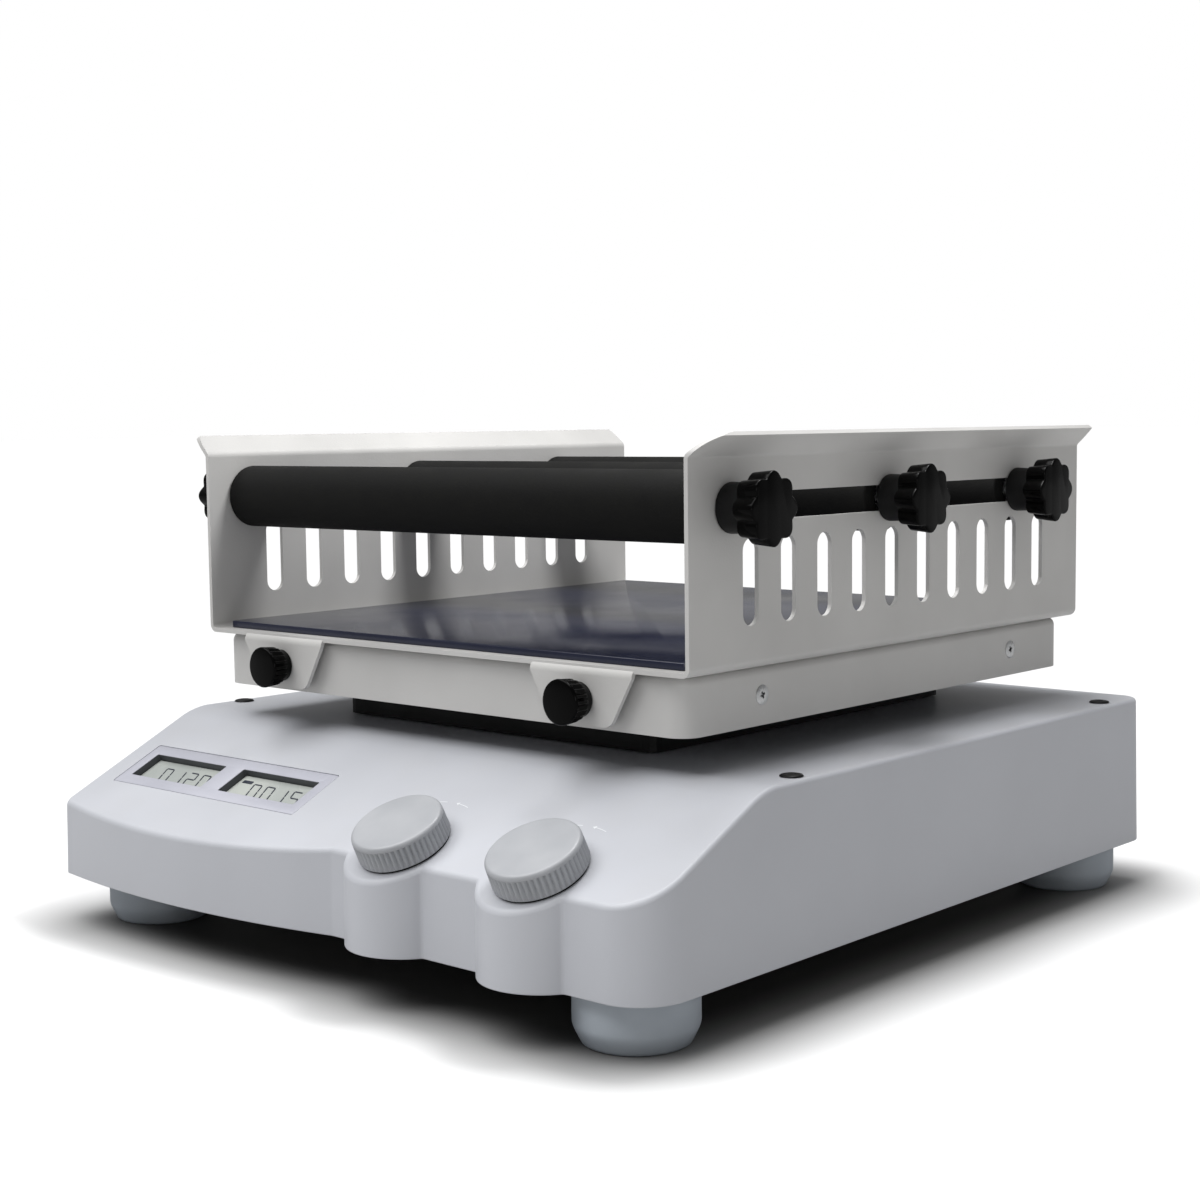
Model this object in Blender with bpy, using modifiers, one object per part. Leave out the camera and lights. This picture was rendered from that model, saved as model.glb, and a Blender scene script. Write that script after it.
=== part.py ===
"""Benchtop orbital shaker with a roller clamp for flasks.

+X is the user's right, -Y is the front, +Z is up. The origin is the middle of the
footprint, on the bench. Lengths are in metres and angles in degrees.
"""
from math import atan2, cos, degrees, pi, radians, sin, sqrt, tan

import bmesh
import bpy
from mathutils import Matrix, Vector

for leftover in list(bpy.data.objects):
    bpy.data.objects.remove(leftover, do_unlink=True)

# ---- base housing
BASE_WIDTH = 0.371
BASE_DEPTH = 0.408
BASE_HEIGHT = 0.0732
FLOOR_GAP = 0.0225            # bench to the housing's lower rim
WALL = 0.003
BASE_DRAFT = 0.001            # how much each side leans in towards the top
EDGE_ROUND = 0.0025
RECESS_DEPTH = 0.013          # front wall between the bosses, behind the foremost point
BULGE_RADIUS = 0.495          # long curve of the front under the display
BULGE_TO_LEFT = 0.0875        # peak of that curve, from the left side
BULGE_RECESS = 0.0012         # peak of that curve, behind the foremost point
CORNER_FRONT_LEFT = 0.005
CORNER_FRONT_RIGHT = 0.022
CORNER_REAR = 0.012
SLOPE_ANGLE = 25.8
SLOPE_FROM_FRONT = 0.0871     # where the sloping panel meets the flat top
GAP = 0.0003                  # between pieces that touch

# ---- feet, plugs and bottom
FOOT_RADIUS = 0.02525
FOOT_TIP_RADIUS = 0.0217
FOOT_TIP_HEIGHT = 0.0064
FOOT_INSET = (0.0313, 0.0431, 0.0288)   # from the side, the front and the rear
BOTTOM_THICKNESS = 0.0025
BOTTOM_RECESS = 0.0015
PLUG_RADIUS = 0.005
PLUG_HEAD = 0.0009
PLUG_SHANK_RADIUS = 0.0034
PLUG_SHANK = 0.006
PLUG_INSET = (0.0087, 0.1138, 0.0345)   # from the side, the front and the rear
POST_RADIUS = 0.007

# ---- control panel, measured down the slope from the crease
KNOB_TO_SIDE = 0.062          # right knob's axis to the right side
KNOB_SPACING = 0.078
KNOB_DOWN = 0.0707
KNOB_RADIUS = 0.0200
KNOB_HEIGHT = 0.0114
KNOB_LIFT = 0.0010            # knob's underside above the panel
KNOB_ROUND = 0.0018
KNOB_FLARE = 0.0003           # skirt wider than the top
KNOB_CAP = 0.0025             # material above the spindle's end
BOSS_RADIUS = 0.027           # round bulge of the front wall below each knob
BOSS_SHIFT = 0.003            # bulge's axis left of the knob's axis
SPINDLE_RADIUS = 0.003
SPINDLE_LENGTH = 0.017
ENCODER_SIZE = (0.0124, 0.0124, 0.0066)
BEZEL_SIZE = (0.1365, 0.0308)
BEZEL_THICKNESS = 0.0040
BEZEL_TO_LEFT = 0.0150        # bezel's left edge to the left side
BEZEL_DOWN = 0.0501           # its middle
WINDOW_SIZE = (0.0550, 0.0175)
WINDOW_PITCH = 0.0683
DISPLAY_DEPTH = 0.0035        # display face below the bezel's face
DISPLAY_THICKNESS = 0.0055
DISPLAY_MARGIN = 0.003        # body beyond the window, behind the bezel
BOARD_THICKNESS = 0.0016

# ---- drive
PLATFORM_TO_REAR = 0.1745     # platform's middle to the rear of the base, at rest
ORBIT_RADIUS = 0.005
SHAFT_RADIUS = 0.007
SHAFT_BOTTOM = 0.0350
SHAFT_CLEARANCE = 0.012       # around the shaft in the housing's top
PIN_RADIUS = 0.006
PIN_LENGTH = 0.0135
CRANK_DISC_RADIUS = 0.023
CRANK_DISC = 0.0048
CRANK_LIFT = 0.0015           # crank discs above the housing's top
COUNTERWEIGHT_RADIUS = 0.044
IDLER_SPREAD = (0.072, 0.082) # idler axes from the drive axis
IDLER_RADIUS = 0.005
IDLER_PIN_RADIUS = 0.004
IDLER_DISC_RADIUS = 0.0125
IDLER_LENGTH = 0.030
IDLER_BEARING_WALL = 0.007
IDLER_BEARING_LENGTH = 0.017  # below the chassis plate
BEARING_CLEARANCE = 0.0005
CHASSIS_SIZE = (0.220, 0.246)
CHASSIS_THICKNESS = 0.003
BEARING_RADIUS = 0.020
BEARING_HEIGHT = 0.030
BEARING_FLANGE = (0.010, 0.004)         # how far it stands out, and its thickness
MOTOR_RADIUS = 0.0285
MOTOR_HEIGHT = 0.036
MOTOR_DISTANCE = 0.092
MOTOR_SHAFT_RADIUS = 0.003
MOTOR_SHAFT_DEPTH = 0.006     # shaft's length inside the motor
MOTOR_PULLEY_RADIUS = 0.012
DRIVEN_PULLEY_RADIUS = 0.042
PULLEY_HEIGHT = 0.011
PULLEY_LIFT = 0.0012          # pulleys' underside above the shaft's lower end
BELT_HEIGHT = 0.007
BELT_THICKNESS = 0.0015

# ---- platform
PLATFORM_GAP = 0.0159         # housing's top to the tray's lower rim
TRAY_WIDTH = 0.2972
TRAY_DEPTH = 0.3041
TRAY_HEIGHT = 0.0252
TRAY_CORNER = 0.010
TRAY_EDGE = 0.004
SHEET = 0.002
CARRIER_SIZE = (0.200, 0.230)
CARRIER_LIFT = 0.0008         # carrier's lower rim above the housing's top
CARRIER_TOP = 0.010
CARRIER_WALL = 0.004
CARRIER_HEIGHT = 0.0196
CARRIER_BEARING_RADIUS = 0.016
RAIL_SPREAD = 0.1013          # cross rails and their screws from the middle
RAIL_WIDTH = 0.022
SCREW_HEAD_RADIUS = 0.0046
SCREW_RADIUS = 0.002
SCREW_LENGTH = 0.012
SCREW_SLOT = (0.0046, 0.0010, 0.0012)   # length, width and depth of the cross
SCREW_UP = 0.0128             # screws above the tray's lower rim

# ---- roller clamp
CLAMP_WIDTH = 0.3085          # over the side panels
CLAMP_DEPTH = 0.3131
CLAMP_HEIGHT = 0.0874         # plate's underside to the flange bend
BEND_RADIUS = 0.002           # inside of each bend
FLANGE_OUT = 0.0093
FLANGE_LEAN = 47.5
FLANGE_CORNER = 0.004
FLANGE_FRONT_CORNER = 0.0255  # long rounding at the right panel's front
SLOT_COUNT = 10
SLOT_TO_END = 0.04009         # first slot's middle to the panel's end
SLOT_WIDTH = 0.0105
SLOT_LENGTH = 0.0361
SLOT_UP = 0.0359              # middle of the slots above the plate's underside
RAIL_SLOT_UP = 0.0668         # roller slot above the plate's underside
RAIL_SLOT_WIDTH = 0.0116
RAIL_SLOT_TO_END = 0.02055
TAB_SPREAD = 0.0967
TAB_WIDTH = 0.057
TAB_FOOT = 0.033
TAB_DROP = 0.0243
TAB_OUT = 0.0014              # tab's face ahead of the plate's front edge
TAB_SHEET = 0.00195           # a hair under the plate, so the two join cleanly
MAT_INSET = (0.00525, 0.00655)          # from the side panels and from the plate's ends
MAT_THICKNESS = 0.003
ROLLER_PLACES = (0.02665, 0.14105, 0.25175)   # behind the panels' front ends
ROLLER_NAMES = ("front", "middle", "rear")
ROLLER_RADIUS = 0.01525
ROLLER_SIDE_GAP = 0.0008      # sleeve's end to the side panel
SLEEVE_ROUND = 0.0010
ROD_RADIUS = 0.007
STUD_RADIUS = 0.004
STAR_HUB_RADIUS = 0.0105
STAR_HUB_LENGTH = 0.0114
STAR_RADIUS = 0.0153
STAR_DIP = 0.0024
STAR_LOBES = 8
STAR_THICKNESS = 0.011
THUMB_RADIUS = 0.0097
THUMB_LENGTH = 0.0125
THUMB_ROUND = 0.0010
THUMB_STUD_RADIUS = 0.0025
THUMB_STUD_LENGTH = 0.013
THUMB_DOWN = 0.0122           # thumb screw's axis below the tray's top

# ---- mains side, on the rear wall
INLET_SIZE = (0.0300, 0.0240)
INLET_CAVITY = (0.0240, 0.0165, 0.0160)
INLET_BACK = 0.004
INLET_PLACE = (0.0655, 0.0390)          # from the left side, and above the housing's rim
CONTACT_SIZE = (0.002, 0.011, 0.004)
CONTACT_SPREAD = (0.007, 0.002)         # beside the middle one, and above or below the middle
SWITCH_SIZE = (0.0190, 0.0130)
SWITCH_PLACE = (0.1105, 0.0390)
ROCKER_DEPTH = 0.0095
ROCKER_DIP = 0.0010           # hollow between the rocker's two ends
ROCKER_PIVOT = 0.0065         # pivot in from the rear wall
ROCKER_TILT = 7.0
SUPPLY_SIZE = (0.085, 0.110, 0.026)
SUPPLY_INSET = (0.015, 0.050, 0.005)    # from the left side, the rear and the housing's rim

# ---- heights and lines that follow
base_low = FLOOR_GAP
base_top = FLOOR_GAP + BASE_HEIGHT
half_width = BASE_WIDTH / 2
half_depth = BASE_DEPTH / 2
front_wall = -half_depth + RECESS_DEPTH
crease_y = -half_depth + SLOPE_FROM_FRONT
cavity_front = front_wall + WALL
platform_y = half_depth - PLATFORM_TO_REAR
drive_y = platform_y - ORBIT_RADIUS
tray_low = base_top + PLATFORM_GAP
tray_top = tray_low + TRAY_HEIGHT
plate_low = tray_top + GAP
plate_top = plate_low + SHEET
roller_z = plate_low + RAIL_SLOT_UP
panel_out = CLAMP_WIDTH / 2
panel_in = panel_out - SHEET
clamp_front = platform_y - CLAMP_DEPTH / 2
screw_z = tray_low + SCREW_UP
countersink = SHEET - 2 * GAP
thumb_z = tray_top - THUMB_DOWN
tab_face = clamp_front - TAB_OUT
flange_up = FLANGE_OUT / tan(radians(FLANGE_LEAN)) + SHEET * sin(radians(FLANGE_LEAN))
knob_places = {"speed": half_width - KNOB_TO_SIDE - KNOB_SPACING, "time": half_width - KNOB_TO_SIDE}
bezel_x = -half_width + BEZEL_TO_LEFT + BEZEL_SIZE[0] / 2
window_places = {"speed": bezel_x - WINDOW_PITCH / 2, "time": bezel_x + WINDOW_PITCH / 2}
board_out = -WALL - GAP - ENCODER_SIZE[2] - GAP - BOARD_THICKNESS / 2
crank_z = base_top + CRANK_LIFT
pin_z = crank_z + CRANK_DISC
carrier_low = base_top + CARRIER_LIFT
carrier_top = carrier_low + CARRIER_HEIGHT
chassis_top = base_top - WALL - GAP
chassis_low = chassis_top - CHASSIS_THICKNESS
pulley_low = SHAFT_BOTTOM + PULLEY_LIFT
pulley_top = pulley_low + PULLEY_HEIGHT
motor_low = chassis_low - GAP - MOTOR_HEIGHT

parts = bpy.data.collections.new("orbital_shaker")
cutters = bpy.data.collections.new("cutters")
bpy.context.scene.collection.children.link(parts)
bpy.context.scene.collection.children.link(cutters)


# ---- materials
def material(name, colour, roughness, metallic=0.0):
    made = bpy.data.materials.new(name)
    made.use_nodes = True
    shader = made.node_tree.nodes["Principled BSDF"]
    shader.inputs["Base Color"].default_value = (*colour, 1.0)
    shader.inputs["Roughness"].default_value = roughness
    shader.inputs["Metallic"].default_value = metallic
    return made


HOUSING = material("housing_grey", (0.56, 0.58, 0.61), 0.45)
COATED = material("coated_steel", (0.60, 0.60, 0.59), 0.40)
FOOT = material("foot_rubber", (0.16, 0.19, 0.22), 0.60)
BLACK = material("black_plastic", (0.02, 0.02, 0.02), 0.35)
FOAM = material("black_foam", (0.015, 0.015, 0.015), 0.85)
KNOB = material("knob_grey", (0.62, 0.64, 0.66), 0.45)
BEZEL = material("bezel_grey", (0.55, 0.56, 0.62), 0.40)
DISPLAY = material("display_grey", (0.36, 0.39, 0.38), 0.20)
MAT = material("blue_black_mat", (0.03, 0.035, 0.07), 0.15)
STEEL = material("steel", (0.62, 0.63, 0.65), 0.30, 1.0)
ALUMINIUM = material("aluminium", (0.74, 0.75, 0.77), 0.35, 1.0)
BOARD = material("circuit_board", (0.03, 0.18, 0.08), 0.50)


# ---- modelling helpers
def add(name, mesh, finish):
    made = bpy.data.objects.new(name, mesh)
    mesh.materials.clear()
    mesh.materials.append(finish)
    parts.objects.link(made)
    return made


def mesh_from(bm, name):
    mesh = bpy.data.meshes.new(name)
    bm.normal_update()
    bm.to_mesh(mesh)
    bm.free()
    mesh.shade_smooth()
    mesh.set_sharp_from_angle(angle=radians(35))
    return mesh


def box(bm, size, centre):
    place = Matrix.Translation(centre) @ Matrix.Diagonal((*size, 1.0))
    return bmesh.ops.create_cube(bm, size=1.0, matrix=place)["verts"]


def rod(bm, radius, start, end, segments=24, end_radius=None):
    """A cylinder, or a cone if end_radius is given, from one point to another."""
    start, end = Vector(start), Vector(end)
    turn = (end - start).to_track_quat("Z", "Y").to_matrix().to_4x4()
    place = Matrix.Translation((start + end) / 2) @ turn
    end_radius = radius if end_radius is None else end_radius
    made = bmesh.ops.create_cone(bm, cap_ends=True, segments=segments, radius1=radius, radius2=end_radius,
                                 depth=(end - start).length, matrix=place)
    return made["verts"]


def box_piece(name, size, centre, finish):
    bm = bmesh.new()
    box(bm, size, centre)
    return add(name, mesh_from(bm, name), finish)


def turned(name, profile, finish, segments=32, place=None):
    """Turn a profile of (radius, height) points, listed top to bottom, about the Z axis."""
    bm = bmesh.new()
    points = [bm.verts.new((radius, 0, height)) for radius, height in profile]
    for start, end in zip(points, points[1:]):
        bm.edges.new((start, end))
    made = add(name, mesh_from(bm, name), finish)
    screw = made.modifiers.new("turn", "SCREW")
    screw.axis = "Z"
    screw.steps = screw.render_steps = segments
    screw.use_merge_vertices = True
    screw.merge_threshold = 0.00001
    made.matrix_world = place or Matrix.Identity(4)
    return made


def flat(name, outlines, thickness, finish, place=None):
    """A plate from closed outlines in XY, with its middle plane at Z = 0; inner outlines are holes."""
    curve = bpy.data.curves.new(name, "CURVE")
    curve.dimensions = "2D"
    curve.fill_mode = "BOTH"
    curve.extrude = thickness / 2
    for outline in outlines:
        spline = curve.splines.new("POLY")
        spline.points.add(len(outline) - 1)
        for point, (x, y) in zip(spline.points, outline):
            point.co = (x, y, 0, 1)
        spline.use_cyclic_u = True
    guide = bpy.data.objects.new(name + "_outline", curve)
    bpy.context.scene.collection.objects.link(guide)
    bpy.context.view_layer.update()
    solid = guide.evaluated_get(bpy.context.evaluated_depsgraph_get())
    mesh = bpy.data.meshes.new_from_object(solid)
    bpy.data.objects.remove(guide, do_unlink=True)
    bm = bmesh.new()
    bm.from_mesh(mesh)
    bmesh.ops.remove_doubles(bm, verts=bm.verts, dist=0.00001)
    bmesh.ops.dissolve_limit(bm, angle_limit=radians(1), verts=bm.verts, edges=bm.edges)
    bm.to_mesh(mesh)
    bm.free()
    mesh.shade_smooth()
    mesh.set_sharp_from_angle(angle=radians(35))
    made = add(name, mesh, finish)
    made.matrix_world = place or Matrix.Identity(4)
    return made


def round_rim(target, width, segments):
    """Round the edges where the piece's upper faces meet its sides, and leave the lower rim sharp."""
    bm = bmesh.new()
    bm.from_mesh(target.data)
    weight = bm.edges.layers.float.new("bevel_weight_edge")
    for edge in bm.edges:
        upward = [face.normal.z > 0.5 for face in edge.link_faces]
        edge[weight] = float(upward.count(True) == 1)
    bm.to_mesh(target.data)
    bm.free()
    rounding = target.modifiers.new("rounding", "BEVEL")
    rounding.limit_method = "WEIGHT"
    rounding.width = width
    rounding.segments = segments


def as_cutter(tool):
    parts.objects.unlink(tool)
    cutters.objects.link(tool)
    tool.hide_render = True
    tool.display_type = "WIRE"
    return tool


def combine(target, tool, operation="DIFFERENCE"):
    """Cut the tool out of the target, or join it on; the tool stays as a guide."""
    step = target.modifiers.new(tool.name, "BOOLEAN")
    step.operation = operation
    step.solver = "EXACT"
    step.object = tool
    if tool.name in parts.objects:
        as_cutter(tool)


def tool_from(name, bm):
    return add(name, mesh_from(bm, name), STEEL)


def arc(centre, radius, start, end, steps):
    """Points on an arc, from one angle to another, in degrees."""
    turns = [radians(start + (end - start) * step / steps) for step in range(steps + 1)]
    return [(centre[0] + radius * cos(turn), centre[1] + radius * sin(turn)) for turn in turns]


def rounded_rectangle(width, depth, radius, centre=(0, 0), steps=6):
    corners = ((1, 1, 0), (-1, 1, 90), (-1, -1, 180), (1, -1, 270))
    outline = []
    for x_side, y_side, start in corners:
        middle = (centre[0] + x_side * (width / 2 - radius), centre[1] + y_side * (depth / 2 - radius))
        outline += arc(middle, radius, start, start + 90, steps)
    return outline


def on_slope(across, down, out=0.0):
    """A place on the control panel: X, distance down from the crease, and height off the panel."""
    middle = Vector((across, crease_y - down * cos(radians(SLOPE_ANGLE)),
                     base_top - down * sin(radians(SLOPE_ANGLE))))
    turn = Matrix.Rotation(radians(SLOPE_ANGLE), 4, "X")
    return Matrix.Translation(middle) @ turn @ Matrix.Translation((0, 0, out))


def upright(x, y, z=0.0):
    return Matrix.Translation((x, y, z))


# a flat outline's own X and Y become Y and Z, and its thickness lies along X
CROSSWISE = Matrix(((0, 0, 1, 0), (1, 0, 0, 0), (0, 1, 0, 0), (0, 0, 0, 1)))


# ---- base housing
def front_outline():
    """The front of the housing from its right corner to its left: bosses, flats and the long bulge."""
    points = arc((half_width - CORNER_FRONT_RIGHT, front_wall + CORNER_FRONT_RIGHT), CORNER_FRONT_RIGHT,
                 360, 270, 7)
    boss_y = -half_depth + BOSS_RADIUS
    behind = boss_y - front_wall
    spread = degrees(atan2(sqrt(BOSS_RADIUS ** 2 - behind ** 2), behind))
    for axis in (knob_places["time"], knob_places["speed"]):
        points += arc((axis - BOSS_SHIFT, boss_y), BOSS_RADIUS, 270 + spread, 270 - spread, 12)
    peak = (-half_width + BULGE_TO_LEFT, -half_depth + BULGE_RECESS)
    middle = (peak[0], peak[1] + BULGE_RADIUS)
    first = sqrt(BULGE_RADIUS ** 2 - (middle[1] - front_wall) ** 2)
    last = BULGE_TO_LEFT - CORNER_FRONT_LEFT
    start = degrees(atan2(first, middle[1] - front_wall))
    end = degrees(atan2(last, BULGE_RADIUS))
    points += arc(middle, BULGE_RADIUS, 270 + start, 270 - end, 16)
    corner_y = points[-1][1] + CORNER_FRONT_LEFT
    points += arc((-half_width + CORNER_FRONT_LEFT, corner_y), CORNER_FRONT_LEFT, 270 - end, 180, 4)[1:]
    return points


def housing_block(name, outline, low, high, lean):
    """An outline raised to a block whose sides lean in towards the top."""
    bm = bmesh.new()
    rim = bm.faces.new([bm.verts.new((x, y, low)) for x, y in outline])
    raised = bmesh.ops.extrude_face_region(bm, geom=[rim])["geom"]
    for vertex in raised:
        if isinstance(vertex, bmesh.types.BMVert):
            vertex.co = (vertex.co.x * (1 - lean / half_width), vertex.co.y * (1 - lean / half_depth), high)
    bmesh.ops.recalc_face_normals(bm, faces=bm.faces)
    return add(name, mesh_from(bm, name), HOUSING)


def cut_slope(block, depth):
    """Cut away what lies above the control panel, or above a plane that deep inside it."""
    plane = on_slope(0, 0, -depth)
    bm = bmesh.new()
    bm.from_mesh(block.data)
    everything = bm.verts[:] + bm.edges[:] + bm.faces[:]
    bmesh.ops.bisect_plane(bm, geom=everything, plane_co=plane.translation, plane_no=plane.to_3x3().col[2],
                           clear_outer=True)
    bmesh.ops.holes_fill(bm, edges=[edge for edge in bm.edges if edge.is_boundary])
    bmesh.ops.recalc_face_normals(bm, faces=bm.faces)
    bm.to_mesh(block.data)
    bm.free()


def corner_places(inset):
    """Left and right, front and rear places set in from the side, the front and the rear."""
    side, front, rear = inset
    return {"front_left": (-half_width + side, -half_depth + front),
            "front_right": (half_width - side, -half_depth + front),
            "rear_left": (-half_width + side, half_depth - rear),
            "rear_right": (half_width - side, half_depth - rear)}


def rear_place(place):
    from_left, up = place
    return -half_width + from_left, half_depth, base_low + up


def idler_places():
    return {f"{row}_{side}": (x * IDLER_SPREAD[0], drive_y + y * IDLER_SPREAD[1])
            for row, y in (("front", -1), ("rear", 1)) for side, x in (("left", -1), ("right", 1))}


def base_housing():
    rear = rounded_rectangle(BASE_WIDTH, BASE_DEPTH, CORNER_REAR)
    outline = front_outline()[::-1] + rear[:len(rear) // 2]
    housing = housing_block("base_housing", outline, base_low, base_top, BASE_DRAFT)
    cut_slope(housing, 0.0)
    round_rim(housing, EDGE_ROUND, 2)

    cavity_depth = half_depth - WALL - cavity_front
    inner = rounded_rectangle(BASE_WIDTH - 2 * WALL, cavity_depth, CORNER_REAR - WALL,
                              (0, cavity_front + cavity_depth / 2), 4)
    # the right front corner is rounder than the rest, so the cavity's is too
    keep = CORNER_FRONT_RIGHT - WALL
    rounder = arc((half_width - WALL - keep, cavity_front + keep), keep, 270, 360, 5)
    inner = inner[:len(inner) * 3 // 4] + rounder
    cavity = housing_block("cavity", inner, base_low - WALL, base_top - WALL, 0.0)
    cut_slope(cavity, WALL)
    posts = bmesh.new()
    post_low = base_low + BOTTOM_RECESS + BOTTOM_THICKNESS + GAP
    for x, y in corner_places(PLUG_INSET).values():
        rod(posts, POST_RADIUS, (x, y, post_low), (x, y, base_top), 16)
    combine(cavity, tool_from("posts", posts))
    combine(housing, cavity)

    holes = bmesh.new()
    for x, y in corner_places(PLUG_INSET).values():
        rod(holes, PLUG_SHANK_RADIUS + GAP, (x, y, base_top - PLUG_SHANK - GAP), (x, y, base_top + WALL), 20)
    rod(holes, SHAFT_RADIUS + SHAFT_CLEARANCE, (0, drive_y, base_top - 2 * WALL),
        (0, drive_y, base_top + WALL), 32)
    for x, y in idler_places().values():
        rod(holes, IDLER_RADIUS + WALL, (x, y, base_top - 2 * WALL), (x, y, base_top + WALL), 20)
    combine(housing, tool_from("top_holes", holes))

    panel = bmesh.new()
    for x in knob_places.values():
        place = on_slope(x, KNOB_DOWN)
        rod(panel, SPINDLE_RADIUS + 2 * GAP, place @ Vector((0, 0, -2 * WALL)), place @ Vector((0, 0, WALL)),
            20)
    opening = box(panel, (BEZEL_SIZE[0] + 2 * GAP, BEZEL_SIZE[1] + 2 * GAP, 4 * WALL), (0, 0, 0))
    bmesh.ops.transform(panel, verts=opening, matrix=on_slope(bezel_x, BEZEL_DOWN))
    combine(housing, tool_from("panel_holes", panel))

    rear_holes = bmesh.new()
    for size, place in ((INLET_SIZE, INLET_PLACE), (SWITCH_SIZE, SWITCH_PLACE)):
        box(rear_holes, (size[0] + 2 * GAP, 4 * WALL, size[1] + 2 * GAP), rear_place(place))
    combine(housing, tool_from("rear_holes", rear_holes))

    # the bottom plate sits between the walls, a little above their lower rim
    clear = GAP + WALL / 4
    plate = [(x * (1 - clear / half_width), y + (clear if y < 0 else -clear)) for x, y in inner]
    flat("bottom_plate", [plate], BOTTOM_THICKNESS, COATED,
         upright(0, 0, base_low + BOTTOM_RECESS + BOTTOM_THICKNESS / 2))


def feet_and_plugs():
    for corner, (x, y) in corner_places(FOOT_INSET).items():
        top = base_low + BOTTOM_RECESS - GAP
        turned("foot_" + corner, [(0, top), (FOOT_RADIUS, top), (FOOT_RADIUS, FOOT_TIP_HEIGHT),
                                  (FOOT_TIP_RADIUS, 0), (0, 0)], FOOT, 32, upright(x, y))
    head = base_top + GAP
    shank = base_top - PLUG_SHANK
    for corner, (x, y) in corner_places(PLUG_INSET).items():
        turned("top_plug_" + corner,
               [(0, head + PLUG_HEAD), (PLUG_RADIUS * 0.8, head + PLUG_HEAD), (PLUG_RADIUS, head),
                (PLUG_SHANK_RADIUS, head), (PLUG_SHANK_RADIUS, shank), (0, shank)],
               BLACK, 20, upright(x, y))


# ---- control panel
def display(name, x):
    """The face stands in the bezel's window, and the wider body lies behind the bezel."""
    depth = BEZEL_THICKNESS - DISPLAY_DEPTH + 2 * GAP
    face = box_piece(name, (WINDOW_SIZE[0] - 2 * GAP, WINDOW_SIZE[1] - 2 * GAP, depth), (0, 0, 0), DISPLAY)
    face.matrix_world = on_slope(x, BEZEL_DOWN, -DISPLAY_DEPTH - depth / 2)
    width, height = WINDOW_SIZE[0] + 2 * DISPLAY_MARGIN, WINDOW_SIZE[1] + 2 * DISPLAY_MARGIN
    body = box_piece(name + "_body", (width, height, DISPLAY_THICKNESS), (0, 0, 0), DISPLAY)
    body.matrix_world = on_slope(x, BEZEL_DOWN, -BEZEL_THICKNESS - GAP - DISPLAY_THICKNESS / 2)
    combine(face, body, "UNION")


def knob_set(name, x):
    """A knob on its spindle, and the encoder that the spindle turns, behind the panel."""
    place = on_slope(x, KNOB_DOWN)
    encoder = box_piece(name + "_encoder", ENCODER_SIZE, (0, 0, -WALL - GAP - ENCODER_SIZE[2] / 2), STEEL)
    encoder.matrix_world = place
    bore = bmesh.new()
    rod(bore, SPINDLE_RADIUS + GAP, (0, 0, -WALL - ENCODER_SIZE[2] + 2 * GAP), (0, 0, WALL), 20)
    bore = tool_from(name + "_encoder_bore", bore)
    bore.matrix_world = place
    combine(encoder, bore)

    top = KNOB_LIFT + KNOB_HEIGHT
    high = top - KNOB_CAP
    low = high - SPINDLE_LENGTH
    turned(name + "_spindle", [(0, high), (SPINDLE_RADIUS, high), (SPINDLE_RADIUS, low), (0, low)],
           STEEL, 20, place)
    bore = SPINDLE_RADIUS + GAP
    turned(name + "_knob",
           [(0, top), (KNOB_RADIUS - KNOB_ROUND, top),
            (KNOB_RADIUS - KNOB_ROUND * 0.3, top - KNOB_ROUND * 0.3), (KNOB_RADIUS, top - KNOB_ROUND),
            (KNOB_RADIUS + KNOB_FLARE, KNOB_LIFT), (bore, KNOB_LIFT), (bore, high + GAP), (0, high + GAP)],
           KNOB, 40, place)


def control_panel():
    windows = [rounded_rectangle(*WINDOW_SIZE, 0.0005, (x - bezel_x, 0), 1) for x in window_places.values()]
    frame = rounded_rectangle(*BEZEL_SIZE, 0.001, steps=2)
    flat("display_bezel", [frame] + windows, BEZEL_THICKNESS, BEZEL,
         on_slope(bezel_x, BEZEL_DOWN, -BEZEL_THICKNESS / 2))
    for name, x in window_places.items():
        display(name + "_display", x)
    for name, x in knob_places.items():
        knob_set(name, x)

    left, right = bezel_x - BEZEL_SIZE[0] / 2, knob_places["time"] + ENCODER_SIZE[0]
    high, low = BEZEL_DOWN - BEZEL_SIZE[1] / 2, KNOB_DOWN + ENCODER_SIZE[1] * 0.85
    board = box_piece("control_board", (right - left, low - high, BOARD_THICKNESS), (0, 0, 0), BOARD)
    board.matrix_world = on_slope((left + right) / 2, (high + low) / 2, board_out)


# ---- drive under the platform
def crank_with_pin(name, x, low, shaft_radius, disc_radius, pin_radius, y=None):
    """A shaft with a disc above the housing and an off-centre pin on the disc."""
    y = drive_y if y is None else y
    shaft = bmesh.new()
    rod(shaft, shaft_radius, (x, y, low), (x, y, crank_z + CRANK_DISC / 2), 20)
    shaft = add(name, mesh_from(shaft, name), STEEL)
    disc = bmesh.new()
    rod(disc, disc_radius, (x, y, crank_z), (x, y, pin_z), 32)
    combine(shaft, tool_from(name + "_disc", disc), "UNION")
    pin = bmesh.new()
    pin_y = y + ORBIT_RADIUS
    rod(pin, pin_radius, (x, pin_y, pin_z - CRANK_DISC / 2), (x, pin_y, pin_z + PIN_LENGTH), 20)
    combine(shaft, tool_from(name + "_pin", pin), "UNION")


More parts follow.
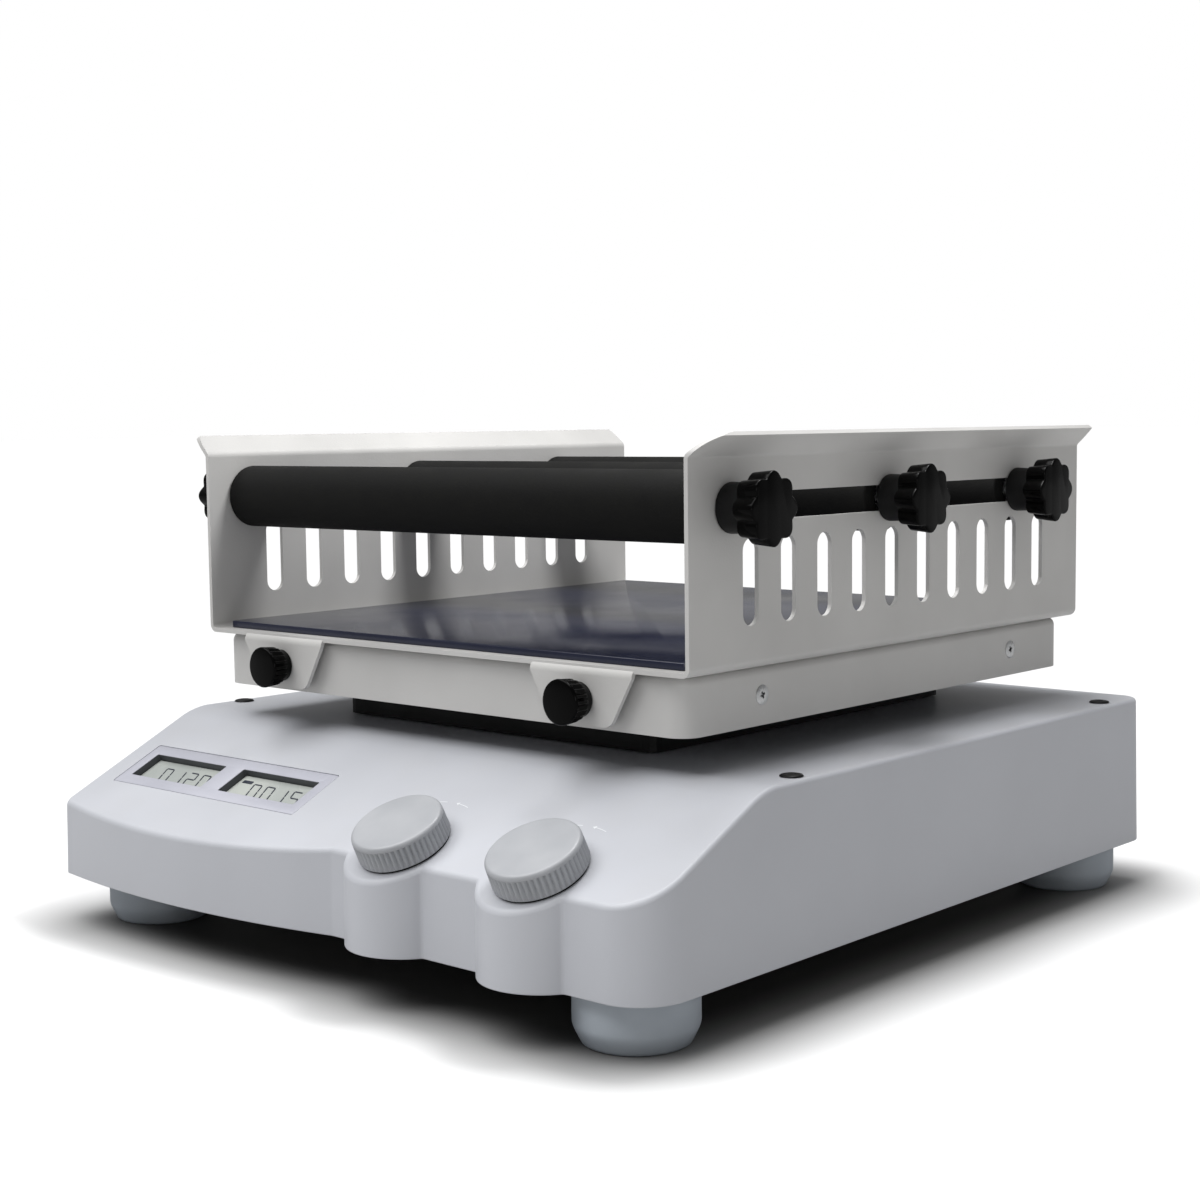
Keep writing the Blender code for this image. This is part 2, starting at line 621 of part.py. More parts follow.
def crank():
    crank_with_pin("crank_shaft", 0, SHAFT_BOTTOM, SHAFT_RADIUS, CRANK_DISC_RADIUS, PIN_RADIUS)
    # the weight lies opposite the pin and clasps the disc
    reach = 65
    half_ring = (arc((0, 0), COUNTERWEIGHT_RADIUS, 270 - reach, 270 + reach, 16)
                 + arc((0, 0), CRANK_DISC_RADIUS + GAP, 270 + reach, 270 - reach, 16))
    flat("counterweight", [half_ring], CRANK_DISC, STEEL, upright(0, drive_y, crank_z + CRANK_DISC / 2))
    bore = SHAFT_RADIUS + GAP
    turned("driven_pulley", [(DRIVEN_PULLEY_RADIUS, pulley_top), (DRIVEN_PULLEY_RADIUS, pulley_low),
                             (bore, pulley_low), (bore, pulley_top), (DRIVEN_PULLEY_RADIUS, pulley_top)],
           ALUMINIUM, 40, upright(0, drive_y))
    top = chassis_low - GAP
    bore = SHAFT_RADIUS + BEARING_CLEARANCE
    flange, flange_low = BEARING_RADIUS + BEARING_FLANGE[0], top - BEARING_FLANGE[1]
    turned("main_bearing", [(flange, top), (flange, flange_low), (BEARING_RADIUS, flange_low),
                            (BEARING_RADIUS, top - BEARING_HEIGHT), (bore, top - BEARING_HEIGHT), (bore, top),
                            (flange, top)], ALUMINIUM, 32, upright(0, drive_y))


def motor_and_belt():
    motor_y = drive_y + MOTOR_DISTANCE
    shaft_top = motor_low + MOTOR_SHAFT_DEPTH
    turned("motor_pulley", [(0, shaft_top), (MOTOR_SHAFT_RADIUS, shaft_top), (MOTOR_SHAFT_RADIUS, pulley_top),
                            (MOTOR_PULLEY_RADIUS, pulley_top), (MOTOR_PULLEY_RADIUS, pulley_low),
                            (0, pulley_low)], STEEL, 24, upright(0, motor_y))
    bore, bore_top = MOTOR_SHAFT_RADIUS + 2 * GAP, shaft_top + SHEET / 2
    turned("drive_motor", [(0, motor_low + MOTOR_HEIGHT), (MOTOR_RADIUS, motor_low + MOTOR_HEIGHT),
                           (MOTOR_RADIUS, motor_low + SHEET), (MOTOR_RADIUS - SHEET, motor_low),
                           (bore, motor_low), (bore, bore_top), (0, bore_top)],
           STEEL, 32, upright(0, motor_y))
    # both runs of the belt are tangent to the pulleys
    outlines = []
    for grow in (GAP + BELT_THICKNESS, GAP):
        large, small = DRIVEN_PULLEY_RADIUS + grow, MOTOR_PULLEY_RADIUS + grow
        lean = degrees(atan2(large - small, sqrt(MOTOR_DISTANCE ** 2 - (large - small) ** 2)))
        outlines.append(arc((0, 0), large, 180 - lean, 360 + lean, 26)
                        + arc((0, MOTOR_DISTANCE), small, lean, 180 - lean, 12))
    flat("drive_belt", outlines, BELT_HEIGHT, BLACK, upright(0, drive_y, pulley_low + PULLEY_HEIGHT / 2))


def chassis_and_idlers():
    bore = IDLER_RADIUS + BEARING_CLEARANCE
    holes = [arc((0, 0), SHAFT_RADIUS + WALL, 360, 15, 23)]
    for x, y in idler_places().values():
        holes.append(arc((x, y - drive_y), bore, 360, 18, 19))
    chassis = flat("chassis_plate", [rounded_rectangle(*CHASSIS_SIZE, 0.010, steps=3)] + holes,
                   CHASSIS_THICKNESS, STEEL, upright(0, drive_y, (chassis_low + chassis_top) / 2))
    high, low = chassis_top - CHASSIS_THICKNESS / 3, chassis_low - IDLER_BEARING_LENGTH
    outside = bore + IDLER_BEARING_WALL
    for name, (x, y) in idler_places().items():
        sleeve = turned("idler_bearing_" + name,
                        [(outside, high), (outside, low), (bore, low), (bore, high), (outside, high)],
                        STEEL, 20, upright(x, y))
        combine(chassis, sleeve, "UNION")
        crank_with_pin("idler_crank_" + name, x, chassis_top - IDLER_LENGTH, IDLER_RADIUS, IDLER_DISC_RADIUS,
                       IDLER_PIN_RADIUS, y)


# ---- mains side
def power_inlet():
    x, back, z = rear_place(INLET_PLACE)
    width, height, reach = INLET_CAVITY
    depth = reach + INLET_BACK
    inlet = box_piece("power_inlet", (INLET_SIZE[0], depth, INLET_SIZE[1]), (x, back - depth / 2, z), BLACK)
    socket = bmesh.new()
    box(socket, (width, reach * 2, height), (x, back, z))
    combine(inlet, tool_from("inlet_socket", socket))
    # three flat contacts stand in the socket, the middle one higher
    foot = back - reach - SHEET / 2
    for number in range(3):
        beside = (number - 1) * CONTACT_SPREAD[0]
        rise = CONTACT_SPREAD[1] * (1 if number == 1 else -1)
        contact = bmesh.new()
        box(contact, CONTACT_SIZE, (x + beside, foot + CONTACT_SIZE[1] / 2, z + rise))
        combine(inlet, tool_from(f"inlet_contact_{number}", contact), "UNION")


def power_rocker():
    """A shallow roof that pivots about X, modelled with one end pressed in."""
    width, height = SWITCH_SIZE[0] - 4 * GAP, SWITCH_SIZE[1] - 4 * GAP
    face = ROCKER_PIVOT - 2 * ROCKER_DIP
    back = face - ROCKER_DEPTH
    outline = [(face, -height / 2), (back, -height * 0.35), (back, height * 0.35), (face, height / 2),
               (face - ROCKER_DIP, 0)]
    rocker = flat("power_rocker", [outline], width, BLACK)
    rocker.data.transform(CROSSWISE)
    x, rear, z = rear_place(SWITCH_PLACE)
    pivot = upright(x, rear - ROCKER_PIVOT, z)
    rocker.matrix_world = pivot @ Matrix.Rotation(radians(ROCKER_TILT), 4, "X")


def power_supply():
    side, rear, up = SUPPLY_INSET
    width, depth, height = SUPPLY_SIZE
    box_piece("power_supply", SUPPLY_SIZE, (-half_width + side + width / 2, half_depth - rear - depth / 2,
                                            base_low + up + height / 2), ALUMINIUM)


# ---- platform
def carrier():
    """A block with a hollow underside that the crank pins hold, with its bearing."""
    middle = (0, platform_y)
    block = flat("platform_carrier", [rounded_rectangle(*CARRIER_SIZE, 0.006, steps=3)], CARRIER_HEIGHT,
                 BLACK, upright(*middle, (carrier_low + carrier_top) / 2))
    hollow = bmesh.new()
    box(hollow, (CARRIER_SIZE[0] - 2 * CARRIER_WALL, CARRIER_SIZE[1] - 2 * CARRIER_WALL,
                 2 * (CARRIER_HEIGHT - CARRIER_TOP)), (*middle, carrier_low))
    combine(block, tool_from("carrier_hollow", hollow))
    bores = bmesh.new()
    rod(bores, CARRIER_BEARING_RADIUS + GAP, (*middle, carrier_low), (*middle, carrier_top + WALL), 32)
    for x, y in idler_places().values():
        rod(bores, IDLER_PIN_RADIUS + BEARING_CLEARANCE, (x, y + ORBIT_RADIUS, carrier_low),
            (x, y + ORBIT_RADIUS, carrier_top + WALL), 20)
    combine(block, tool_from("carrier_bores", bores))
    low, high = carrier_top - CARRIER_TOP + GAP, carrier_top - GAP
    bore = PIN_RADIUS + BEARING_CLEARANCE
    turned("platform_bearing", [(CARRIER_BEARING_RADIUS, high), (CARRIER_BEARING_RADIUS, low), (bore, low),
                                (bore, high), (CARRIER_BEARING_RADIUS, high)], STEEL, 32, upright(*middle))


def cross_rails():
    low, high = carrier_top + GAP, tray_top - SHEET - GAP
    length = TRAY_WIDTH - 2 * SHEET - 2 * GAP
    for row, side in (("front", -1), ("rear", 1)):
        y = platform_y + side * RAIL_SPREAD
        rail = box_piece("cross_rail_" + row, (length, RAIL_WIDTH, high - low), (0, y, (low + high) / 2),
                         ALUMINIUM)
        taps = bmesh.new()
        for end in (-1, 1):
            rod(taps, SCREW_RADIUS + GAP, (end * (length / 2 + WALL), y, screw_z),
                (end * (TRAY_WIDTH / 2 - SCREW_LENGTH - GAP), y, screw_z), 16)
        combine(rail, tool_from("rail_taps_" + row, taps))


def tray():
    centre = upright(0, platform_y, (tray_low + tray_top) / 2)
    outside = rounded_rectangle(TRAY_WIDTH, TRAY_DEPTH, TRAY_CORNER, steps=6)
    shell = flat("platform_tray", [outside], TRAY_HEIGHT, COATED, centre)
    round_rim(shell, TRAY_EDGE, 4)
    inside = rounded_rectangle(TRAY_WIDTH - 2 * SHEET, TRAY_DEPTH - 2 * SHEET, TRAY_CORNER - SHEET, steps=4)
    combine(shell, flat("tray_inside", [inside], TRAY_HEIGHT, COATED, centre @ upright(0, 0, -SHEET)))

    face, front = TRAY_WIDTH / 2, platform_y - TRAY_DEPTH / 2
    heads, shanks, studs = bmesh.new(), bmesh.new(), bmesh.new()
    for end in (-1, 1):
        for y in (platform_y - RAIL_SPREAD, platform_y + RAIL_SPREAD):
            rod(heads, SCREW_HEAD_RADIUS + GAP, (end * (face + GAP), y, screw_z),
                (end * (face - countersink - GAP), y, screw_z), 20, SCREW_RADIUS + GAP)
            rod(shanks, SCREW_RADIUS + 2 * GAP, (end * (face - countersink / 2), y, screw_z),
                (end * (face - 2 * SHEET), y, screw_z), 16)
        rod(studs, THUMB_STUD_RADIUS + GAP, (end * TAB_SPREAD, front - SHEET, thumb_z),
            (end * TAB_SPREAD, front + 2 * SHEET, thumb_z), 20)
    combine(shell, tool_from("screw_heads", heads))
    combine(shell, tool_from("screw_shanks", shanks))
    combine(shell, tool_from("thumb_screw_holes", studs))


def tray_screw(name, side, y):
    """A countersunk screw, flush with the tray's side, with a cross in its head."""
    face = TRAY_WIDTH / 2
    end, neck = face - SCREW_LENGTH, face - countersink
    place = upright(0, y, screw_z) @ Matrix.Rotation(radians(90 * side), 4, "Y")
    screw = turned(name, [(0, face), (SCREW_HEAD_RADIUS - GAP, face), (SCREW_RADIUS, neck),
                          (SCREW_RADIUS, end), (0, end)], STEEL, 20, place)
    length, width, depth = SCREW_SLOT
    for number, (x, z) in enumerate(((length, width), (width, length))):
        slot = bmesh.new()
        box(slot, (x, z, 2 * depth), (0, 0, face))
        slot = tool_from(f"{name}_slot_{number}", slot)
        slot.matrix_world = place
        combine(screw, slot)


def platform():
    carrier()
    cross_rails()
    tray()
    for side_name, side in (("left", -1), ("right", 1)):
        tray_screw("tray_screw_front_" + side_name, side, platform_y - RAIL_SPREAD)
        tray_screw("tray_screw_rear_" + side_name, side, platform_y + RAIL_SPREAD)


# ---- roller clamp
def sheet_profile(path, thickness):
    """The closed outline of a sheet of even thickness along a middle line."""
    near, far = [], []
    for index, (x, z) in enumerate(path):
        before = path[max(index - 1, 0)]
        after = path[min(index + 1, len(path) - 1)]
        into = Vector((x - before[0], z - before[1]))
        out = Vector((after[0] - x, after[1] - z))
        if into.length == 0 or out.length == 0:
            along = (into + out).normalized()
            stretch = 1.0
        else:
            along = (into.normalized() + out.normalized()).normalized()
            stretch = 1 / max(along.dot(out.normalized()), 0.5)
        side = Vector((-along.y, along.x)) * thickness / 2 * stretch
        near.append((x + side.x, z + side.y))
        far.append((x - side.x, z - side.y))
    return near + far[::-1]


def clamp_path():
    """Middle line of the clamp's right half: plate, lower bend, panel, upper bend and flange."""
    bend = BEND_RADIUS + SHEET / 2
    side = panel_out - SHEET / 2
    low = SHEET / 2
    path = [(0, low)] + arc((side - bend, low + bend), bend, 270, 360, 5)
    half_turn = tan(radians(FLANGE_LEAN / 2))
    turn_z = CLAMP_HEIGHT + SHEET / 2 * half_turn - bend * half_turn
    path += arc((side + bend, turn_z), bend, 180, 180 - FLANGE_LEAN, 3)
    path.append((panel_out + FLANGE_OUT - SHEET / 2 * cos(radians(FLANGE_LEAN)),
                 CLAMP_HEIGHT + flange_up - SHEET / 2 * sin(radians(FLANGE_LEAN))))
    return path


def oblong(length, width, centre, steps=6):
    """An upright slot outline with round ends."""
    x, y = centre
    rise = (length - width) / 2
    return arc((x, y + rise), width / 2, 0, 180, steps) + arc((x, y - rise), width / 2, 180, 360, steps)


def flange_corner_cutter(name, side, end, length):
    """What a rounded flange corner leaves out, as a plate that crosses the leaning flange."""
    reach = flange_up + SHEET / 4
    edge = CLAMP_DEPTH / 2
    quarter = [radians(90 * step / 8) for step in range(9)]
    curve = [(edge - length + length * cos(turn), reach * sin(turn)) for turn in quarter]
    corner = [(edge - length, reach + SHEET), (edge + SHEET, reach + SHEET), (edge + SHEET, 0)]
    outline = [(y * end, z) for y, z in curve + corner]
    place = upright(side * (panel_out + FLANGE_OUT / 2), platform_y, plate_low + CLAMP_HEIGHT) @ CROSSWISE
    return flat(name, [outline], 4 * FLANGE_OUT, COATED, place)


def clamp_tab(side_name, side):
    """The plate carried forward and bent down, then cut to a tongue that tapers downwards."""
    bend = BEND_RADIUS + SHEET / 2
    front = -TAB_OUT + SHEET / 2
    path = [(3 * SHEET, SHEET / 2)] + arc((front + bend, SHEET / 2 - bend), bend, 90, 180, 5)
    path.append((front, SHEET / 2 - TAB_DROP))
    tab = flat("tab_" + side_name, [sheet_profile(path, TAB_SHEET)], TAB_WIDTH, COATED)
    tab.data.transform(CROSSWISE)
    tab.matrix_world = upright(side * TAB_SPREAD, clamp_front, plate_low)
    wide, narrow, low = TAB_WIDTH / 2, TAB_FOOT / 2, -TAB_DROP
    for lean in (-1, 1):
        wedge = [(wide, -SHEET), (2 * wide, -SHEET), (2 * wide, 2 * low), (narrow * 0.9, 2 * low),
                 (narrow, low + SHEET), (narrow + SHEET / 3, low + 2 * SHEET)]
        tool = flat(f"tab_{side_name}_{lean}", [[(lean * x, z) for x, z in wedge]], 10 * SHEET, COATED,
                    tab.matrix_world @ Matrix.Rotation(radians(90), 4, "X"))
        combine(tab, tool)
    hole = bmesh.new()
    rod(hole, THUMB_STUD_RADIUS + GAP, (side * TAB_SPREAD, tab_face - SHEET, thumb_z),
        (side * TAB_SPREAD, tab_face + 2 * SHEET, thumb_z), 20)
    combine(tab, tool_from("tab_hole_" + side_name, hole))
    return tab


def clamp():
    right = clamp_path()
    path = [(-x, z) for x, z in right[:0:-1]] + right
    lay = Matrix.Rotation(radians(90), 4, "X")
    frame = flat("clamp_frame", [sheet_profile(path, SHEET)], CLAMP_DEPTH, COATED,
                 upright(0, platform_y, plate_low) @ lay)

    pitch = (CLAMP_DEPTH - 2 * SLOT_TO_END) / (SLOT_COUNT - 1)
    rail_slot = oblong(CLAMP_DEPTH - 2 * RAIL_SLOT_TO_END, RAIL_SLOT_WIDTH, (-RAIL_SLOT_UP, 0))
    for side_name, side in (("left", -1), ("right", 1)):
        place = upright(side * (panel_out - SHEET / 2), platform_y, plate_low) @ CROSSWISE
        for number in range(SLOT_COUNT):
            y = SLOT_TO_END - CLAMP_DEPTH / 2 + number * pitch
            outline = oblong(SLOT_LENGTH, SLOT_WIDTH, (y, SLOT_UP))
            combine(frame, flat(f"slot_{side_name}_{number}", [outline], 3 * SHEET, COATED, place))
        lying = place @ Matrix.Rotation(radians(-90), 4, "Z")
        combine(frame, flat("rail_slot_" + side_name, [rail_slot], 3 * SHEET, COATED, lying))
        for end_name, end in (("front", -1), ("rear", 1)):
            length = FLANGE_FRONT_CORNER if (side, end) == (1, -1) else FLANGE_CORNER
            combine(frame, flange_corner_cutter(f"flange_{side_name}_{end_name}", side, end, length))
        combine(frame, clamp_tab(side_name, side), "UNION")


def mat():
    width, depth = 2 * (panel_in - MAT_INSET[0]), CLAMP_DEPTH - 2 * MAT_INSET[1]
    flat("platform_mat", [rounded_rectangle(width, depth, 0.003, steps=2)], MAT_THICKNESS, MAT,
         upright(0, platform_y, plate_top + GAP + MAT_THICKNESS / 2))


def thumb_screws():
    low, high = GAP, GAP + THUMB_LENGTH
    profile = [(0, high), (THUMB_RADIUS - THUMB_ROUND, high), (THUMB_RADIUS, high - THUMB_ROUND),
               (THUMB_RADIUS, low + 3 * THUMB_ROUND), (THUMB_RADIUS * 0.8, low), (THUMB_STUD_RADIUS, low),
               (THUMB_STUD_RADIUS, -THUMB_STUD_LENGTH), (0, -THUMB_STUD_LENGTH)]
    for side_name, side in (("left", -1), ("right", 1)):
        place = upright(side * TAB_SPREAD, tab_face, thumb_z) @ Matrix.Rotation(radians(90), 4, "X")
        turned("thumb_screw_" + side_name, profile, BLACK, 28, place)


def rollers():
    """Each roller is a rod with a foam sleeve, and its thinner ends pass through the slots into the knobs."""
    end = panel_in - ROLLER_SIDE_GAP
    hub = panel_out + GAP
    stud_end = hub + STAR_HUB_LENGTH + STAR_THICKNESS * 0.3
    rod_profile = [(0, stud_end), (STUD_RADIUS, stud_end), (STUD_RADIUS, end), (ROD_RADIUS, end),
                   (ROD_RADIUS, -end), (STUD_RADIUS, -end), (STUD_RADIUS, -stud_end), (0, -stud_end)]
    inner, outer = ROD_RADIUS + GAP, ROLLER_RADIUS
    sleeve_profile = [(inner, end), (outer - SLEEVE_ROUND, end), (outer, end - SLEEVE_ROUND),
                      (outer, -end + SLEEVE_ROUND), (outer - SLEEVE_ROUND, -end), (inner, -end), (inner, end)]
    for name, behind in zip(ROLLER_NAMES, ROLLER_PLACES):
        y = clamp_front + behind
        place = upright(0, y, roller_z) @ Matrix.Rotation(radians(90), 4, "Y")
        turned("roller_rod_" + name, rod_profile, STEEL, 20, place)
        turned("roller_sleeve_" + name, sleeve_profile, FOAM, 28, place)
        for side_name, side in (("left", -1), ("right", 1)):
            star_knob(f"star_knob_{name}_{side_name}", side, y, hub, stud_end)


def star_knob(name, side, y, hub, stud_end):
    """A lobed knob on a round hub, with a blind bore for the rod's end."""
    count = 6 * STAR_LOBES
    outline = []
    for step in range(count):
        turn = 2 * pi * step / count
        radius = STAR_RADIUS - STAR_DIP * (1 - abs(cos(turn * STAR_LOBES / 2)) ** 1.3)
        outline.append((radius * cos(turn), radius * sin(turn)))
    place = upright(0, y, roller_z) @ Matrix.Rotation(radians(90 * side), 4, "Y")
    middle = hub + STAR_HUB_LENGTH + STAR_THICKNESS / 2
    knob = flat(name, [outline], STAR_THICKNESS, BLACK, place @ Matrix.Translation((0, 0, middle)))
    neck = bmesh.new()
    rod(neck, STAR_HUB_RADIUS, (0, 0, hub), (0, 0, middle), 24)
    neck = tool_from(name + "_hub", neck)
    neck.matrix_world = place
    combine(knob, neck, "UNION")
    bore = bmesh.new()
    rod(bore, STUD_RADIUS + GAP, (0, 0, hub - SHEET), (0, 0, stud_end + GAP), 20)
    bore = tool_from(name + "_bore", bore)
    bore.matrix_world = place
    combine(knob, bore)


base_housing()
feet_and_plugs()
control_panel()
crank()
motor_and_belt()
chassis_and_idlers()
power_inlet()
power_rocker()
power_supply()
platform()
clamp()
mat()
thumb_screws()
rollers()
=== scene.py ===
# orbital shaker with a roller clamp
from math import atan2, cos, degrees, pi, radians, sin, sqrt, tan

import bmesh
import bpy
from mathutils import Matrix, Vector


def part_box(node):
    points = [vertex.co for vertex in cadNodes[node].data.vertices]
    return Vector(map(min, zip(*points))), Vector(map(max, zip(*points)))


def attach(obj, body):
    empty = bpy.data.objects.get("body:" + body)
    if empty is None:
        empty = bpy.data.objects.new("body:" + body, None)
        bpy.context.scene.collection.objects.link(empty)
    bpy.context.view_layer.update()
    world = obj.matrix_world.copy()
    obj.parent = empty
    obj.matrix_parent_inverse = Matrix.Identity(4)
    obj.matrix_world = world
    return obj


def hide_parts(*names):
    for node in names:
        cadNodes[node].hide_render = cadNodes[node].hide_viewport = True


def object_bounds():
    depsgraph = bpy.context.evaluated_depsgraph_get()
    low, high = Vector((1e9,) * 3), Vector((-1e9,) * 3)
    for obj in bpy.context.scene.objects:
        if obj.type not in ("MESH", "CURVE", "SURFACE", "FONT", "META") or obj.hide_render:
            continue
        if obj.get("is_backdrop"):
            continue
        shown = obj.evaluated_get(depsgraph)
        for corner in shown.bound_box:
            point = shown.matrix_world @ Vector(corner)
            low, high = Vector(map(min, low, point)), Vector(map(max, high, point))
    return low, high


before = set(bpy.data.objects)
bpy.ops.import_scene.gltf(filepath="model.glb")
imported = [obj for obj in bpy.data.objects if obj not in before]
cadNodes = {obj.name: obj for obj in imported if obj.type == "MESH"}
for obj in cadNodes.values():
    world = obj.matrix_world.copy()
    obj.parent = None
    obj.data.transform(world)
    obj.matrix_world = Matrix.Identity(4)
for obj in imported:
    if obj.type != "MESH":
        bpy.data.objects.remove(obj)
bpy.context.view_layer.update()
print("frame loaded,", len(cadNodes), "nodes")


# ---- materials
def linear(tone):
    # a tone such as B0B4BA as the colour a shader wants
    parts = [int(tone[place:place + 2], 16) / 255 for place in (0, 2, 4)]
    return [part / 12.92 if part < 0.04045 else ((part + 0.055) / 1.055) ** 2.4 for part in parts] + [1.0]


def newGroup(name, inputs, outputs):
    group = bpy.data.node_groups.new(name, "ShaderNodeTree")
    for label, kind, value in inputs:
        socket = group.interface.new_socket(label, in_out="INPUT", socket_type=kind)
        if value is not None:
            socket.default_value = value
    for label in outputs:
        group.interface.new_socket(label, in_out="OUTPUT", socket_type="NodeSocketFloat")
    return group, group.nodes.new("NodeGroupInput"), group.nodes.new("NodeGroupOutput")


def noiseIn(group, start, sizeSocket, detail):
    # A noise whose features are as large as the group's size input, in metres.
    scale = group.nodes.new("ShaderNodeMath")
    scale.operation = "DIVIDE"
    scale.inputs[0].default_value = 1.0
    group.links.new(start.outputs[sizeSocket], scale.inputs[1])
    noise = group.nodes.new("ShaderNodeTexNoise")
    noise.inputs["Detail"].default_value = detail
    group.links.new(start.outputs["Place"], noise.inputs["Vector"])
    group.links.new(scale.outputs[0], noise.inputs["Scale"])
    return noise.outputs["Fac"]


def makeSurfaceGrain():
    # Fine grain for the bump, and a slow drift for tone and gloss.
    group, start, end = newGroup("surfaceGrain", [("Place", "NodeSocketVector", None),
                                                  ("Grain Size", "NodeSocketFloat", 0.0006),
                                                  ("Drift Size", "NodeSocketFloat", 0.05)],
                                 ["Grain", "Drift"])
    fine = noiseIn(group, start, "Grain Size", 2.0)
    slow = noiseIn(group, start, "Drift Size", 3.0)
    spread = group.nodes.new("ShaderNodeMapRange")
    spread.inputs["From Min"].default_value = 0.3
    spread.inputs["From Max"].default_value = 0.7
    group.links.new(slow, spread.inputs["Value"])
    group.links.new(fine, end.inputs["Grain"])
    group.links.new(spread.outputs["Result"], end.inputs["Drift"])
    return group


def makeRestingDust():
    # A thin, patchy mask on faces that look up.
    group, start, end = newGroup("restingDust", [("Place", "NodeSocketVector", None),
                                                 ("Facing", "NodeSocketVector", None),
                                                 ("Patch Size", "NodeSocketFloat", 0.02),
                                                 ("Amount", "NodeSocketFloat", 0.1)],
                                 ["Mask"])
    patches = noiseIn(group, start, "Patch Size", 5.0)
    split = group.nodes.new("ShaderNodeSeparateXYZ")
    upward = group.nodes.new("ShaderNodeMapRange")
    upward.inputs["From Min"].default_value = 0.75
    upward.inputs["From Max"].default_value = 1.0
    patchy = group.nodes.new("ShaderNodeMapRange")
    patchy.inputs["From Min"].default_value = 0.45
    patchy.inputs["From Max"].default_value = 0.75
    both, scaled = group.nodes.new("ShaderNodeMath"), group.nodes.new("ShaderNodeMath")
    both.operation = scaled.operation = "MULTIPLY"
    group.links.new(start.outputs["Facing"], split.inputs[0])
    group.links.new(split.outputs["Z"], upward.inputs["Value"])
    group.links.new(patches, patchy.inputs["Value"])
    group.links.new(upward.outputs["Result"], both.inputs[0])
    group.links.new(patchy.outputs["Result"], both.inputs[1])
    group.links.new(both.outputs[0], scaled.inputs[0])
    group.links.new(start.outputs["Amount"], scaled.inputs[1])
    group.links.new(scaled.outputs[0], end.inputs["Mask"])
    return group


surfaceGrain = makeSurfaceGrain()
restingDust = makeRestingDust()

# tone pair, roughness and its swing, grain size and depth in metres, drift size
finishes = {
    "housingEnamel": dict(tones=("B9BBC1", "C0C2C8"), rough=0.42, swing=0.06, grain=0.0007, depth=0.00003,
                          drift=0.09, dust=0.12),
    "powderCoat": dict(tones=("C0BFBD", "CAC9C7"), rough=0.46, swing=0.08, grain=0.0011, depth=0.00006,
                       drift=0.06, dust=0.10),
    "footRubber": dict(tones=("A9B1BA", "B3BBC3"), rough=0.62, swing=0.08, grain=0.0005, depth=0.00003,
                       drift=0.02, dust=0.05),
    "glossBlack": dict(shine=0.06, tones=("030303", "060606"), rough=0.17, swing=0.06, grain=0.0014, depth=0.00001,
                       drift=0.012, dust=0.01),
    "dullBlack": dict(shine=0.2, tones=("0C0C0D", "121213"), rough=0.52, swing=0.08, grain=0.0004, depth=0.00002,
                      drift=0.015, dust=0.02),
    "foamRubber": dict(shine=0.12, tones=("0F0F0F", "161615"), rough=0.80, swing=0.06, grain=0.00045, depth=0.00012,
                       drift=0.009, dust=0.01),
    "knobPlastic": dict(tones=("9FA1A5", "A7A9AD"), rough=0.40, swing=0.05, grain=0.0005, depth=0.00001,
                        drift=0.02, dust=0.08),
    "bezelPlastic": dict(tones=("AFB0BA", "B7B8C2"), rough=0.33, swing=0.05, grain=0.0006, depth=0.00001,
                         drift=0.03, dust=0.08),
    "displayGrey": dict(tones=("A6ABA8", "B9BDB8"), rough=0.28, swing=0.05, grain=0.0003, depth=0.000004,
                        drift=0.03, dust=0.03),
    "displayInk": dict(tones=("262C38", "2E3440"), rough=0.35, swing=0.04, grain=0.0003, depth=0.000004,
                       drift=0.004, dust=0.0),
    # painted shade: a dark tone for the bezel windows' inner walls, where shade falls
    "paintedRecessShade": dict(tones=("3C3F42", "45484B"), rough=0.55, swing=0.05, grain=0.0004, depth=0.00001,
                       drift=0.01, dust=0.0),
    "printedMark": dict(tones=("DCDEE1", "E4E6E9"), rough=0.45, swing=0.04, grain=0.0003, depth=0.000004,
                        drift=0.006, dust=0.0),
    "matRubber": dict(tones=("12162D", "161B33"), rough=0.17, swing=0.05, grain=0.0022, depth=0.00002,
                      drift=0.05, dust=0.012),
    "platedSteel": dict(tones=("B4B5B6", "C2C3C4"), rough=0.27, swing=0.08, grain=0.0004, depth=0.00001,
                        drift=0.006, dust=0.05, metallic=1.0),
    "millAluminium": dict(tones=("BDBEC0", "C9CACC"), rough=0.40, swing=0.08, grain=0.0004, depth=0.00002,
                          drift=0.02, dust=0.05, metallic=1.0),
    "boardGreen": dict(tones=("16402A", "1D4E34"), rough=0.45, swing=0.06, grain=0.0006, depth=0.00002,
                       drift=0.01, dust=0.05),
}


